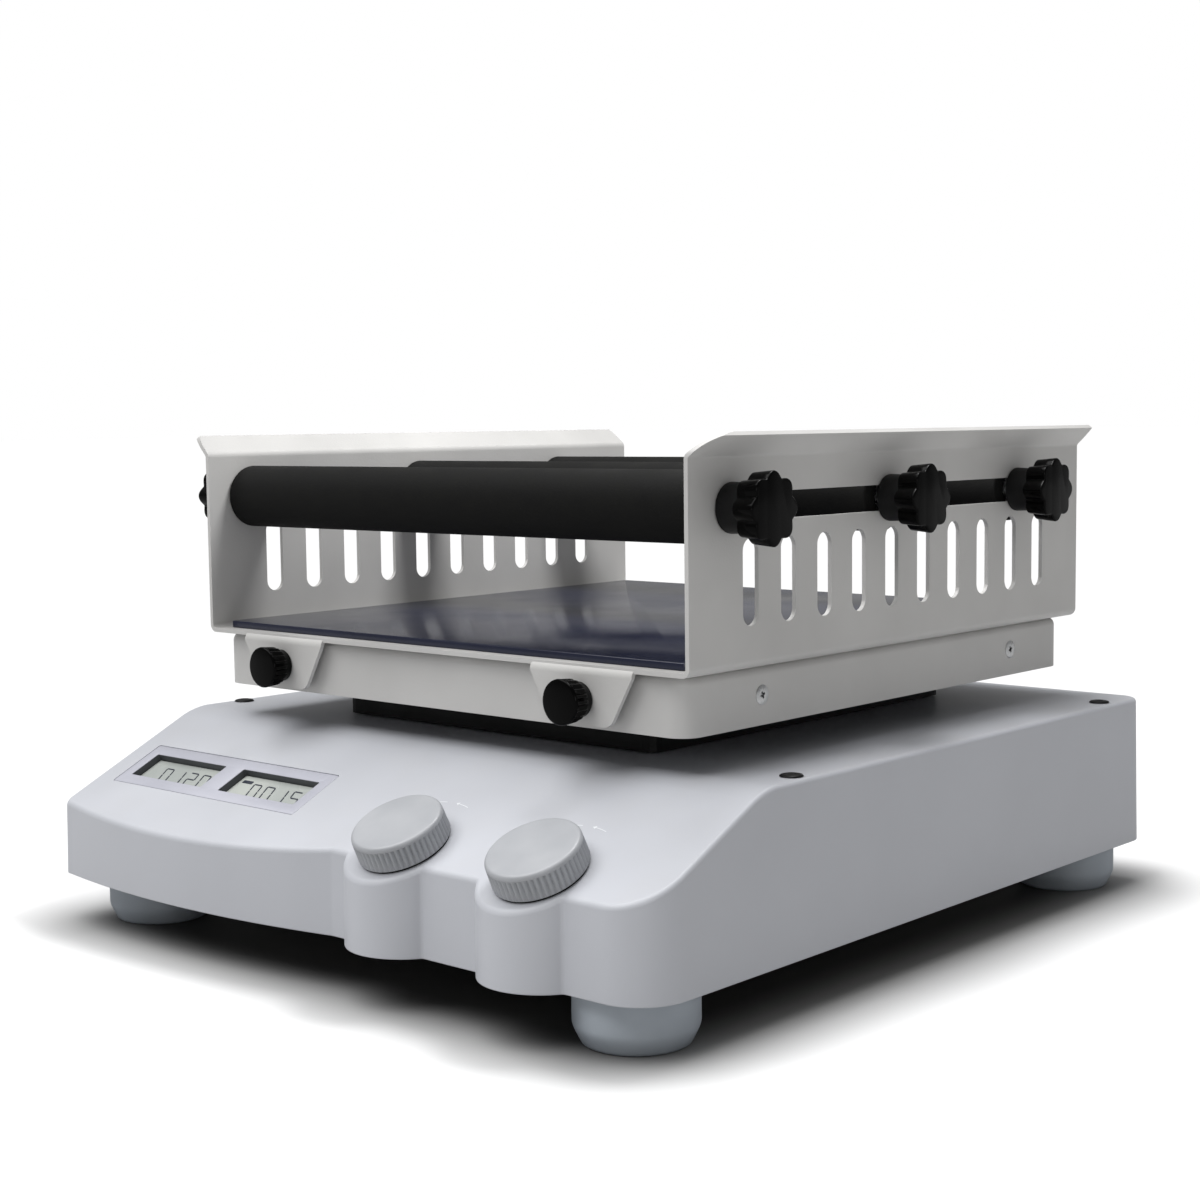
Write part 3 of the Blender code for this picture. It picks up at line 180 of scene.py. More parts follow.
def makeFinish(name):
    look = finishes[name]
    material = bpy.data.materials.new(name)
    material.use_nodes = True
    nodes, links = material.node_tree.nodes, material.node_tree.links
    shader = nodes["Principled BSDF"]
    shader.inputs["Metallic"].default_value = look.get("metallic", 0.0)
    shader.inputs["Specular IOR Level"].default_value = look.get("shine", 0.5)
    place = nodes.new("ShaderNodeTexCoord")
    grain, dust = nodes.new("ShaderNodeGroup"), nodes.new("ShaderNodeGroup")
    grain.node_tree, dust.node_tree = surfaceGrain, restingDust
    grain.inputs["Grain Size"].default_value = look["grain"]
    grain.inputs["Drift Size"].default_value = look["drift"]
    dust.inputs["Amount"].default_value = look["dust"]
    links.new(place.outputs["Object"], grain.inputs["Place"])
    links.new(place.outputs["Object"], dust.inputs["Place"])
    links.new(place.outputs["Normal"], dust.inputs["Facing"])
    tone = nodes.new("ShaderNodeMix")
    tone.data_type = "RGBA"
    tone.inputs[6].default_value, tone.inputs[7].default_value = map(linear, look["tones"])
    links.new(grain.outputs["Drift"], tone.inputs[0])
    dusty = nodes.new("ShaderNodeMix")
    dusty.data_type = "RGBA"
    dusty.inputs[7].default_value = linear("B9B6B0")
    links.new(dust.outputs["Mask"], dusty.inputs[0])
    links.new(tone.outputs[2], dusty.inputs[6])
    links.new(dusty.outputs[2], shader.inputs["Base Color"])
    gloss = nodes.new("ShaderNodeMapRange")
    gloss.inputs["To Min"].default_value = look["rough"] - look["swing"]
    gloss.inputs["To Max"].default_value = look["rough"] + look["swing"]
    links.new(grain.outputs["Drift"], gloss.inputs["Value"])
    links.new(gloss.outputs["Result"], shader.inputs["Roughness"])
    bump = nodes.new("ShaderNodeBump")
    bump.inputs["Distance"].default_value = look["depth"]
    links.new(grain.outputs["Grain"], bump.inputs["Height"])
    links.new(bump.outputs["Normal"], shader.inputs["Normal"])
    return material


skins = {name: makeFinish(name) for name in finishes}
print("materials made")


# ---- shaping helpers
def placed(name, data):
    thing = bpy.data.objects.new(name, data)
    bpy.context.scene.collection.objects.link(thing)
    return thing


def vertsOf(geom):
    return [item for item in geom if isinstance(item, bmesh.types.BMVert)]


def penArc(bm, tip, centre, angle, steps):
    # Carry an outline on from its tip along an arc; the angle is in degrees.
    made = bmesh.ops.spin(bm, geom=[tip], cent=(*centre, 0), axis=(0, 0, 1), angle=radians(angle), steps=steps)
    return vertsOf(made["geom_last"])[0]


def penLine(bm, tip, x, y):
    point = bmesh.ops.extrude_vert_indiv(bm, verts=[tip])["verts"][0]
    point.co = (x, y, 0)
    return point


def penClose(bm, first, tip):
    if (first.co - tip.co).length > 1e-6:
        bm.edges.new((tip, first))
    bmesh.ops.remove_doubles(bm, verts=bm.verts, dist=1e-6)
    bmesh.ops.contextual_create(bm, geom=bm.edges[:])


def penShape(points):
    bm = bmesh.new()
    first = tip = bm.verts.new((*points[0], 0))
    for x, y in points[1:]:
        tip = penLine(bm, tip, x, y)
    penClose(bm, first, tip)
    return bm


def raiseUp(bm, height):
    # Give flat faces a thickness upwards.
    lifted = vertsOf(bmesh.ops.extrude_face_region(bm, geom=bm.faces[:])["geom"])
    bmesh.ops.translate(bm, vec=(0, 0, height), verts=lifted)
    bmesh.ops.recalc_face_normals(bm, faces=bm.faces)
    return lifted


def roundEdges(bm, edges, offset, segments):
    bmesh.ops.bevel(bm, geom=edges, offset=offset, offset_type="OFFSET", segments=segments, profile=0.5,
                    affect="EDGES", clamp_overlap=True, material=-1)


def roundCorners(bm, verts, offset, segments):
    bmesh.ops.bevel(bm, geom=verts, offset=offset, offset_type="OFFSET", segments=segments, profile=0.5,
                    affect="VERTICES", material=-1)


def rimEdges(bm, up=1):
    # Edges between a face that looks up, or down, and one that doesn't.
    return [edge for edge in bm.edges
            if len(edge.link_faces) == 2 and [face.normal.z * up > 0.5 for face in edge.link_faces].count(True) == 1]


def roundedPlate(width, depth, corner, thickness, steps=8):
    # A plate with its underside at Z = 0.
    bm = bmesh.new()
    bmesh.ops.create_grid(bm, x_segments=1, y_segments=1, size=0.5)
    bmesh.ops.scale(bm, vec=(width, depth, 1), verts=bm.verts)
    if corner:
        roundCorners(bm, bm.verts[:], corner, steps)
    raiseUp(bm, thickness)
    return bm


def boxShape(low, high):
    bm = roundedPlate(high[0] - low[0], high[1] - low[1], 0, high[2] - low[2])
    return moved(bm, Matrix.Translation(((low[0] + high[0]) / 2, (low[1] + high[1]) / 2, low[2])))


def turnedShape(profile, steps=64):
    # A profile of (radius, height) points turned about Z.
    bm = bmesh.new()
    line = [bm.verts.new((radius, 0, height)) for radius, height in profile]
    for start, end in zip(line, line[1:]):
        bm.edges.new((start, end))
    bmesh.ops.spin(bm, geom=bm.verts[:] + bm.edges[:], cent=(0, 0, 0), axis=(0, 0, 1), angle=2 * pi,
                   steps=steps, use_merge=True)
    bmesh.ops.remove_doubles(bm, verts=bm.verts, dist=1e-6)
    bmesh.ops.recalc_face_normals(bm, faces=bm.faces)
    return bm


def drill(radius, reach, steps=32):
    # A rod about Z that reaches as far up as down, for cutting a hole.
    return turnedShape([(0, reach), (radius, reach), (radius, -reach), (0, -reach)], steps)


def moved(bm, matrix):
    bmesh.ops.transform(bm, matrix=matrix, verts=bm.verts)
    if matrix.determinant() < 0:
        bmesh.ops.reverse_faces(bm, faces=bm.faces)
    return bm


def added(bm, other):
    # Put another shape into this one as it is.
    mesh = bpy.data.meshes.new("passing")
    other.to_mesh(mesh)
    other.free()
    bm.from_mesh(mesh)
    bpy.data.meshes.remove(mesh)
    return bm


def combined(bm, tool, operation="DIFFERENCE"):
    # Boolean of two shapes; both are used up.
    pair = []
    for shape in (bm, tool):
        mesh = bpy.data.meshes.new("shape")
        shape.to_mesh(mesh)
        shape.free()
        pair.append(placed("shape", mesh))
    step = pair[0].modifiers.new("combine", "BOOLEAN")
    step.operation, step.solver, step.object = operation, "EXACT", pair[1]
    bpy.context.view_layer.update()
    result = bmesh.new()
    solid = pair[0].evaluated_get(bpy.context.evaluated_depsgraph_get())
    result.from_mesh(solid.to_mesh())
    solid.to_mesh_clear()
    for thing in pair:
        mesh = thing.data
        bpy.data.objects.remove(thing)
        bpy.data.meshes.remove(mesh)
    return result


def finishPiece(name, bm, skin, body, slotName, *nodes, sharp=32, edge=0.0, steps=2, weighted=False, second=None):
    bmesh.ops.remove_doubles(bm, verts=bm.verts, dist=1e-7)
    mesh = bpy.data.meshes.new(name)
    bm.to_mesh(mesh)
    bm.free()
    mesh.materials.append(skins[skin])
    if second:
        mesh.materials.append(skins[second])
    mesh.shade_smooth()
    if not (weighted and edge):
        mesh.set_sharp_from_angle(angle=radians(sharp))
    piece = placed(name, mesh)
    if edge:
        soften = piece.modifiers.new("soften", "BEVEL")
        soften.width, soften.segments = edge, steps
        soften.limit_method, soften.angle_limit = "ANGLE", radians(sharp)
        soften.harden_normals = False
    if weighted:
        even = piece.modifiers.new("evenNormals", "WEIGHTED_NORMAL")
        even.weight, even.keep_sharp = 60, not edge
    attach(piece, body)
    if nodes:
        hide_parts(*nodes)
    return piece


def fromFrame(node):
    # A merged copy of a CAD node's shape.
    bm = bmesh.new()
    bm.from_mesh(cadNodes[node].data)
    bmesh.ops.remove_doubles(bm, verts=bm.verts, dist=1e-5)
    bmesh.ops.dissolve_limit(bm, angle_limit=radians(1), verts=bm.verts, edges=bm.edges)
    return bm


def middleOf(node):
    low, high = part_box(node)
    return (low + high) / 2


corners = ("front_left", "front_right", "rear_left", "rear_right")
sides = (("left", -1), ("right", 1))
# a flat shape's own X and Y become Y and Z, and its thickness runs along X
crosswise = Matrix(((0, 0, 1, 0), (1, 0, 0, 0), (0, 1, 0, 0), (0, 0, 0, 1)))
# a turned shape's axis points along X, or towards the front
alongX = Matrix.Rotation(radians(90), 4, "Y")
toFront = Matrix.Rotation(radians(90), 4, "X")
outwards = {side: Matrix.Rotation(radians(90 * side), 4, "Y") for name, side in sides}


# ---- housing
housing = dict(
    wall=0.0026, lean=0.001, rimRound=0.0028, creaseRound=0.008, lowerRound=0.0007,
    recess=0.013, bossRadius=0.027, bossShift=0.003, hollowFillet=0.0010,
    bulgeRadius=0.495, bulgeToLeft=0.0875, bulgeRecess=0.0012,
    cornerLeft=0.005, cornerRight=0.022, cornerRear=0.012,
    slope=25.8, slopeFromFront=0.0871, knobDown=0.0707, bezelDown=0.0501,
    shaftHole=0.019, idlerHole=0.008, idlerSpread=(0.072, 0.082), orbit=0.005, plugHole=0.0037, spindleHole=0.0036,
    backGap=0.0003, backCut=0.01,
)
housingLow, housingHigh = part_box("base_housing")
creaseY = housingLow.y + housing["slopeFromFront"]
slope = radians(housing["slope"])
platformY = middleOf("platform_mat").y
knobX = {"speed": middleOf("speed_knob").x, "time": middleOf("time_knob").x}


def onPanel(x, down, out=0.0):
    # A place on the sloping panel: X, distance down from its crease, and height off it.
    spot = Vector((x, creaseY - down * cos(slope), housingHigh.z - down * sin(slope)))
    return Matrix.Translation(spot) @ Matrix.Rotation(slope, 4, "X") @ Matrix.Translation((0, 0, out))


def housingOutline(bm):
    h = housing
    half, front, rear = housingHigh.x, housingLow.y, housingHigh.y
    wall = front + h["recess"]
    first = tip = bm.verts.new((half, wall + h["cornerRight"], 0))
    tip = penArc(bm, tip, (half - h["cornerRight"], wall + h["cornerRight"]), -90, 20)
    bossY = front + h["bossRadius"]
    behind = bossY - wall
    spread = atan2(sqrt(h["bossRadius"] ** 2 - behind ** 2), behind)
    for name in ("time", "speed"):
        x = knobX[name] - h["bossShift"]
        tip = penLine(bm, tip, x + h["bossRadius"] * sin(spread), bossY - h["bossRadius"] * cos(spread))
        tip = penArc(bm, tip, (x, bossY), -2 * degrees(spread), 40)
    middle = (-half + h["bulgeToLeft"], front + h["bulgeRecess"] + h["bulgeRadius"])
    rise = middle[1] - wall
    start = atan2(sqrt(h["bulgeRadius"] ** 2 - rise ** 2), rise)
    end = atan2(h["bulgeToLeft"] - h["cornerLeft"], h["bulgeRadius"])
    tip = penLine(bm, tip, middle[0] + h["bulgeRadius"] * sin(start), wall)
    tip = penArc(bm, tip, middle, -degrees(start + end), 56)
    corner = (-half + h["cornerLeft"], tip.co.y + h["cornerLeft"])
    tip = penLine(bm, tip, corner[0] - h["cornerLeft"] * sin(end), corner[1] - h["cornerLeft"] * cos(end))
    tip = penArc(bm, tip, corner, -(90 - degrees(end)), 8)
    r = h["cornerRear"]
    tip = penLine(bm, tip, -half, rear - r)
    tip = penArc(bm, tip, (-half + r, rear - r), -90, 12)
    tip = penLine(bm, tip, half - r, rear)
    tip = penArc(bm, tip, (half - r, rear - r), -90, 12)
    penClose(bm, first, tip)


def makeHousing():
    h = housing
    bm = bmesh.new()
    housingOutline(bm)
    # a small fillet where each boss runs into the front wall
    wall = housingLow.y + h["recess"]
    hollows = [vertex for vertex in bm.verts
               if abs(vertex.co.y - wall) < 1e-5 and abs(vertex.co.x) < housingHigh.x - 1.5 * h["cornerRight"]]
    roundCorners(bm, hollows, h["hollowFillet"], 3)
    raised = raiseUp(bm, housingHigh.z - housingLow.z)
    bmesh.ops.scale(bm, vec=(1 - h["lean"] / housingHigh.x, 1 - h["lean"] / housingHigh.y, 1), verts=raised)
    bmesh.ops.translate(bm, vec=(0, 0, housingLow.z), verts=bm.verts)
    plane = onPanel(0, 0)
    bmesh.ops.bisect_plane(bm, geom=bm.verts[:] + bm.edges[:] + bm.faces[:], plane_co=plane.translation,
                           plane_no=plane.to_3x3().col[2], clear_outer=True)
    bmesh.ops.holes_fill(bm, edges=[edge for edge in bm.edges if edge.is_boundary])
    bmesh.ops.recalc_face_normals(bm, faces=bm.faces)
    crease = [edge for edge in bm.edges if len(edge.link_faces) == 2
              and all(face.normal.z > 0.5 for face in edge.link_faces) and edge.calc_face_angle() > radians(10)]
    roundEdges(bm, crease, h["creaseRound"], 8)
    roundEdges(bm, rimEdges(bm), h["rimRound"], 6)
    roundEdges(bm, rimEdges(bm, -1), h["lowerRound"], 2)
    bmesh.ops.delete(bm, geom=[face for face in bm.faces if face.normal.z < -0.9], context="FACES")
    bmesh.ops.solidify(bm, geom=bm.faces[:], thickness=h["wall"])
    bmesh.ops.recalc_face_normals(bm, faces=bm.faces)
    return bm


def housingHoles():
    h = housing
    top, wall = housingHigh.z, 2 * h["wall"]
    holes = bmesh.new()
    for name in corners:
        spot = middleOf("top_plug_" + name)
        added(holes, moved(drill(h["plugHole"], wall), Matrix.Translation((spot.x, spot.y, top))))
        side, end = (-1 if "left" in name else 1), (-1 if "front" in name else 1)
        spot = (side * h["idlerSpread"][0], platformY - h["orbit"] + end * h["idlerSpread"][1], top)
        added(holes, moved(drill(h["idlerHole"], wall), Matrix.Translation(spot)))
    added(holes, moved(drill(h["shaftHole"], wall, 48), Matrix.Translation((0, platformY - h["orbit"], top))))
    for x in knobX.values():
        added(holes, moved(drill(h["spindleHole"], wall, 24), onPanel(x, h["knobDown"])))
    opening = roundedPlate(bezel["width"] + 2 * bezel["gap"], bezel["depth"] + 2 * bezel["gap"], bezel["corner"],
                           4 * wall, 3)
    added(holes, moved(opening, onPanel(bezelX, h["bezelDown"], -2 * wall)))
    for node in ("power_inlet", "rockerWindow"):
        low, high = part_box("power_inlet") if node == "power_inlet" else rockerWindow()
        added(holes, boxShape((low.x - h["backGap"], high.y - h["backCut"], low.z - h["backGap"]),
                              (high.x + h["backGap"], high.y + h["backCut"], high.z + h["backGap"])))
    return holes


bezel = dict(width=0.1365, depth=0.0308, corner=0.001, thickness=0.0040, gap=0.0003, window=(0.0550, 0.0175),
             windowCorner=0.0006, pitch=0.0683)
bezelX = middleOf("display_bezel").x
switch = dict(width=0.0190, height=0.0130)


def rockerWindow():
    half = Vector((switch["width"] / 2, 0, switch["height"] / 2))
    spot = Vector((middleOf("power_rocker").x, housingHigh.y, middleOf("power_inlet").z))
    return spot - half, spot + half


shell = combined(makeHousing(), housingHoles())
finishPiece("housingShell", shell, "housingEnamel", "base", "housing", "base_housing", weighted=True)
print("housing made")


# ---- display bezel, displays and printed marks
def makeBezel():
    b = bezel
    plate = roundedPlate(b["width"], b["depth"], b["corner"], b["thickness"], 3)
    windows = bmesh.new()
    for side in (-1, 1):
        added(windows, moved(roundedPlate(*b["window"], b["windowCorner"], 4 * b["thickness"], 3),
                             Matrix.Translation((side * b["pitch"] / 2, 0, -b["thickness"]))))
    plate = combined(plate, windows)
    bmesh.ops.recalc_face_normals(plate, faces=plate.faces)
    roundEdges(plate, rimEdges(plate), 0.0003, 2)
    reachX, reachY = (b["pitch"] + b["window"][0]) / 2 + 0.0002, b["window"][1] / 2 + 0.0002
    for face in plate.faces:   # the windows' inner walls get a dark tone, painted shade
        spot = face.calc_center_median()
        if abs(spot.x) < reachX and abs(spot.y) < reachY and abs(face.normal.z) < 0.3:
            face.material_index = 1
    return moved(plate, onPanel(bezelX, housing["bezelDown"], -b["thickness"]))


finishPiece("displayBezel", makeBezel(), "bezelPlastic", "base", "bezel", "display_bezel", second="paintedRecessShade")

display = dict(recess=0.0035, margin=0.003, body=0.0055, gap=0.0003, inkHeight=0.00012, inkLift=0.00002,
               digitHeight=0.0094, digitWidth=0.0056, stroke=0.00075, pitch=0.0098, lean=-0.34, digitDown=0.0014,
               flag=(0.0070, 0.0021), flagAcross=0.0064, flagUp=0.0040)
litBars = {"0": "abcdef", "1": "bc", "2": "abged", "5": "afgcd"}   # the bars of each digit


def makeDigit(symbol):
    # A seven-bar digit, centred, leaning a little.
    d = display
    w, h, s = d["digitWidth"], d["digitHeight"], d["stroke"]
    spots = {"a": (0, h / 2, 0), "g": (0, 0, 0), "d": (0, -h / 2, 0), "f": (-w / 2, h / 4, 1), "b": (w / 2, h / 4, 1),
             "e": (-w / 2, -h / 4, 1), "c": (w / 2, -h / 4, 1)}
    digit = bmesh.new()
    for bar in litBars[symbol]:
        x, y, upright = spots[bar]
        length = (h / 2 if upright else w) - s * 0.25
        strip = roundedPlate(length, s, s * 0.48, d["inkHeight"], 1)
        turn = Matrix.Rotation(radians(90 * upright), 4, "Z")
        added(digit, moved(strip, Matrix.Translation((x, y, 0)) @ turn))
    shear = Matrix(((1, d["lean"], 0, 0), (0, 1, 0, 0), (0, 0, 1, 0), (0, 0, 0, 1)))
    return moved(digit, shear)


readouts = {"speed": dict(text="0120", start=0.0169), "time": dict(text="0015", start=0.0166)}


def makeReadout(name, x):
    d, r = display, readouts[name]
    width, depth = bezel["window"][0] - 2 * d["gap"], bezel["window"][1] - 2 * d["gap"]
    face = roundedPlate(width, depth, 0.0004, bezel["thickness"] - d["recess"] + 2 * d["gap"], 2)
    roundEdges(face, rimEdges(face), 0.00015, 1)
    moved(face, onPanel(x, housing["bezelDown"], -bezel["thickness"] - 2 * d["gap"]))
    body = roundedPlate(width + 2 * d["margin"], depth + 2 * d["margin"], 0.0008, d["body"], 2)
    moved(body, onPanel(x, housing["bezelDown"], -bezel["thickness"] - d["gap"] - d["body"]))
    finishPiece(name + "DisplayFace", added(face, body), "displayGrey", "base", "display", name + "_display")
    ink = bmesh.new()
    for number, symbol in enumerate(r["text"]):
        across = x - bezel["window"][0] / 2 + r["start"] + number * d["pitch"]
        place = onPanel(across, housing["bezelDown"] + d["digitDown"], -d["recess"] + d["inkLift"])
        added(ink, moved(makeDigit(symbol), place))
    if name == "time":   # a small flag at the upper left
        flag = roundedPlate(*d["flag"], 0.0003, d["inkHeight"], 2)
        added(ink, moved(flag, onPanel(x - bezel["window"][0] / 2 + d["flagAcross"],
                                       housing["bezelDown"] - d["flagUp"], -d["recess"] + d["inkLift"])))
    finishPiece(name + "Digits", ink, "displayInk", "base", "display")


for side, name in ((-1, "speed"), (1, "time")):
    makeReadout(name, bezelX + side * bezel["pitch"] / 2)

arcMark = dict(radius=0.0312, stroke=0.00035, height=0.00005, arrow=0.0011, arcs=((105, -8), (85, -13)))


def makeArcMark(x):
    # two short arcs over a knob, with an arrow's head between them
    a = arcMark
    mark = bmesh.new()
    for start, sweep in a["arcs"]:
        bm = bmesh.new()
        ends = []
        for radius in (a["radius"] - a["stroke"] / 2, a["radius"] + a["stroke"] / 2):
            first = bm.verts.new((radius * cos(radians(start)), radius * sin(radians(start)), 0))
            ends.append((first, penArc(bm, first, (0, 0), sweep, 10)))
        bm.edges.new((ends[0][0], ends[1][0]))
        bm.edges.new((ends[0][1], ends[1][1]))
        bmesh.ops.contextual_create(bm, geom=bm.edges[:])
        raiseUp(bm, a["height"])
        added(mark, bm)
    turn = radians(a["arcs"][1][0])
    head = bmesh.new()
    bmesh.ops.create_circle(head, cap_ends=True, segments=3, radius=a["arrow"])
    moved(head, Matrix.Translation((a["radius"] * cos(turn), a["radius"] * sin(turn), 0))
          @ Matrix.Rotation(turn, 4, "Z"))
    raiseUp(head, a["height"] * 1.2)
    return moved(added(mark, head), onPanel(x, housing["knobDown"], 0.00001))


marks = added(makeArcMark(knobX["speed"]), makeArcMark(knobX["time"]))
finishPiece("printedArrows", marks, "printedMark", "base", "bezel")
print("panel made")


# ---- ribbed knobs
def ribbed(bm, count, depth, low, high, inner, sharpness=0.8):
    # Press upright grooves into a turned shape between two heights.
    for vertex in bm.verts:
        reach = Vector((vertex.co.x, vertex.co.y)).length
        if low - 1e-6 <= vertex.co.z <= high + 1e-6 and reach > inner:
            turn = atan2(vertex.co.y, vertex.co.x)
            dip = depth * (0.5 - 0.5 * cos(turn * count)) ** sharpness
            vertex.co.x *= (reach - dip) / reach
            vertex.co.y *= (reach - dip) / reach
    bm.normal_update()
    return bm


knob = dict(radius=0.0200, flare=0.0003, height=0.0114, lift=0.0010, round=0.0018, ribs=52, ribDepth=0.00100,
            bore=0.0033, cap=0.0025, dish=0.00012, shadeRingHeight=0.0003, shadeRingBore=0.0037, shadeRingLift=0.00001)


def makeKnob(x):
    k = knob
    top, edge = k["lift"] + k["height"], k["radius"]
    rim = [(edge - k["round"] * (1 - sin(radians(a))), top - k["round"] * (1 - cos(radians(a))))
           for a in (0, 15, 30, 45, 60, 75, 90)]
    under = k["lift"] + 0.0004
    profile = [(0, top - k["dish"]), (edge * 0.55, top - k["dish"]), (edge * 0.84, top - k["dish"] * 0.4)] + rim
    profile += [(edge + 0.00003, top - k["round"] - 0.0003), (edge + 0.00006, top - k["round"] - 0.0008),
                (edge + k["flare"] * 0.6, k["lift"] + 0.004), (edge + k["flare"], under),
                (edge + k["flare"] - 0.0004, k["lift"]), (k["bore"], k["lift"]),
                (k["bore"], top - k["cap"] + 0.0003), (0, top - k["cap"] + 0.0003)]
    bm = turnedShape(profile, k["ribs"] * 6)
    ribbed(bm, k["ribs"], k["ribDepth"], under, top - k["round"] - 0.0007, edge * 0.98, 1.5)
    return moved(bm, onPanel(x, housing["knobDown"]))


def makePaintedShadeRing(x):
    # thin dark ring on the panel under a knob, painted shade for the gap under its skirt
    k = knob
    inner, low = k["shadeRingBore"], k["shadeRingLift"]
    ring = turnedShape([(inner, k["shadeRingHeight"]), (k["radius"] - 0.0008, k["shadeRingHeight"]), (k["radius"] - 0.0006, low),
                        (inner, low), (inner, k["shadeRingHeight"])], 96)
    return moved(ring, onPanel(x, housing["knobDown"]))


for name, x in knobX.items():
    # the dark ring under each knob is painted shade
    finishPiece(name + "KnobPaintedShade", makePaintedShadeRing(x), "dullBlack", "base", "black_plastic")
    finishPiece(name + "KnobRibbed", makeKnob(x), "knobPlastic", name + "_turn", "knob", name + "_knob", sharp=50)
print("knobs made")


# ---- feet and corner plugs
foot = dict(radius=0.02525, tip=0.0217, tipHeight=0.0064, top=0.0237, shoulder=0.0012)
plug = dict(radius=0.005, head=0.0009, shank=0.0034, depth=0.006, gap=0.0003)


def makeFoot(spot):
    f = foot
    r = f["radius"]
    profile = [(0, f["top"]), (r - f["shoulder"], f["top"]),
               (r - f["shoulder"] * 0.3, f["top"] - f["shoulder"] * 0.3), (r, f["top"] - f["shoulder"]),
               (r, f["tipHeight"] + 0.0024), (r - 0.00012, f["tipHeight"] + 0.0014),
               (r - 0.00045, f["tipHeight"] + 0.0002), (r - 0.0011, f["tipHeight"] - 0.0013),
               (f["tip"] + 0.0006, 0.0014), (f["tip"] + 0.0001, 0.0005), (f["tip"] - 0.0008, 0),
               (f["tip"] - 0.004, 0), (f["tip"] - 0.0048, 0.0006), (0, 0.0006)]
    return moved(turnedShape(profile, 96), Matrix.Translation((spot.x, spot.y, 0)))


def makePlug(spot):
    p = plug
    top, r = housingHigh.z + p["gap"], p["radius"]
    profile = [(0, top + p["head"] * 0.7), (r * 0.34, top + p["head"] * 0.72), (r * 0.42, top + p["head"]),
               (r * 0.62, top + p["head"]), (r * 0.86, top + p["head"] * 0.72), (r * 0.97, top + p["head"] * 0.3),
               (r, top), (p["shank"], top), (p["shank"], top - p["depth"]), (0, top - p["depth"])]
    return moved(turnedShape(profile, 48), Matrix.Translation((spot.x, spot.y, 0)))


for corner in corners:
    finishPiece("rubberFoot_" + corner, makeFoot(middleOf("foot_" + corner)), "footRubber", "base", "foot",
                "foot_" + corner)
    finishPiece("cornerPlug_" + corner, makePlug(middleOf("top_plug_" + corner)), "dullBlack", "base",
                "black_plastic", "top_plug_" + corner)
print("feet made")


# ---- tray with its screws
tray = dict(corner=0.010, edge=0.004, sheet=0.002, screwHead=0.0046, screwUp=0.0128, studHole=0.0028,
            thumbDown=0.0122, tabSpread=0.0967, crossLength=0.0046, crossWidth=0.0011, crossDepth=0.0014,
            crossTurn=22)
trayLow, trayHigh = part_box("platform_tray")
screwZ, thumbZ = trayLow.z + tray["screwUp"], trayHigh.z - tray["thumbDown"]


def makeTray():
    t = tray
    size = trayHigh - trayLow
    bm = roundedPlate(size.x, size.y, t["corner"], size.z, 14)
    roundEdges(bm, rimEdges(bm), t["edge"], 8)
    roundEdges(bm, rimEdges(bm, -1), 0.0003, 2)
    bmesh.ops.delete(bm, geom=[face for face in bm.faces if face.normal.z < -0.9], context="FACES")
    bmesh.ops.solidify(bm, geom=bm.faces[:], thickness=t["sheet"])
    bmesh.ops.recalc_face_normals(bm, faces=bm.faces)
    moved(bm, Matrix.Translation(((trayLow.x + trayHigh.x) / 2, (trayLow.y + trayHigh.y) / 2, trayLow.z)))
    holes = bmesh.new()
    for sideName, side in sides:
        for end in ("front", "rear"):
            spot = middleOf(f"tray_screw_{end}_{sideName}")
            cone = turnedShape([(0, 0.0006), (t["screwHead"] + 0.0009, 0.0006), (t["screwHead"] + 0.0003, 0),
                                (0.0026, -0.0014), (0.0026, -0.004), (0, -0.004)], 48)
            added(holes, moved(cone, Matrix.Translation((side * trayHigh.x, spot.y, screwZ)) @ outwards[side]))
        added(holes, moved(drill(t["studHole"], 2 * t["sheet"]),
                           Matrix.Translation((side * t["tabSpread"], trayLow.y, thumbZ)) @ toFront))
    return combined(bm, holes)


def makeTrayScrew(side, y):
    t = tray
    r = t["screwHead"] - 0.0003
    head = turnedShape([(0, 0), (r - 0.0004, 0), (r, -0.0002), (0.002, -0.0014), (0.002, -0.012), (0, -0.012)], 48)
    for turn in (0, 90):
        bar = roundedPlate(t["crossLength"], t["crossWidth"], 0.0002, 0.004, 2)
        for vertex in bar.verts:   # the cross narrows inwards
            if vertex.co.z < 0.002:
                vertex.co.x *= 0.55
        place = Matrix.Rotation(radians(turn + t["crossTurn"]), 4, "Z") @ Matrix.Translation((0, 0, -t["crossDepth"]))
        head = combined(head, moved(bar, place))
    return moved(head, Matrix.Translation((side * trayHigh.x, y, screwZ)) @ outwards[side])


finishPiece("trayShell", makeTray(), "powderCoat", "platform", "coated", "platform_tray", weighted=True)
for sideName, side in sides:
    for end in ("front", "rear"):
        node = f"tray_screw_{end}_{sideName}"
        finishPiece(f"crossScrew_{end}_{sideName}", makeTrayScrew(side, middleOf(node).y), "platedSteel",
                    "platform", "steel", node)
print("tray made")


# ---- roller clamp: one bent sheet
clamp = dict(
    width=0.3085, depth=0.3131, height=0.0874, sheet=0.002, bend=0.002, flangeOut=0.0093, flangeLean=47.5,
    cornerFront=0.0255, corner=0.004, slots=10, slotToEnd=0.04009, slotWidth=0.0105, slotLength=0.0361,
    slotUp=0.0359, railUp=0.0668, railWidth=0.0116, railToEnd=0.02055,
    tabWidth=0.057, tabFoot=0.033, tabDrop=0.0233, tabOut=0.0014, tabCorner=0.0035, cutEdge=0.00035,
)
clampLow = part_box("clamp_frame")[0]
plateZ = clampLow.z + clamp["tabDrop"]
frontY = platformY - clamp["depth"] / 2


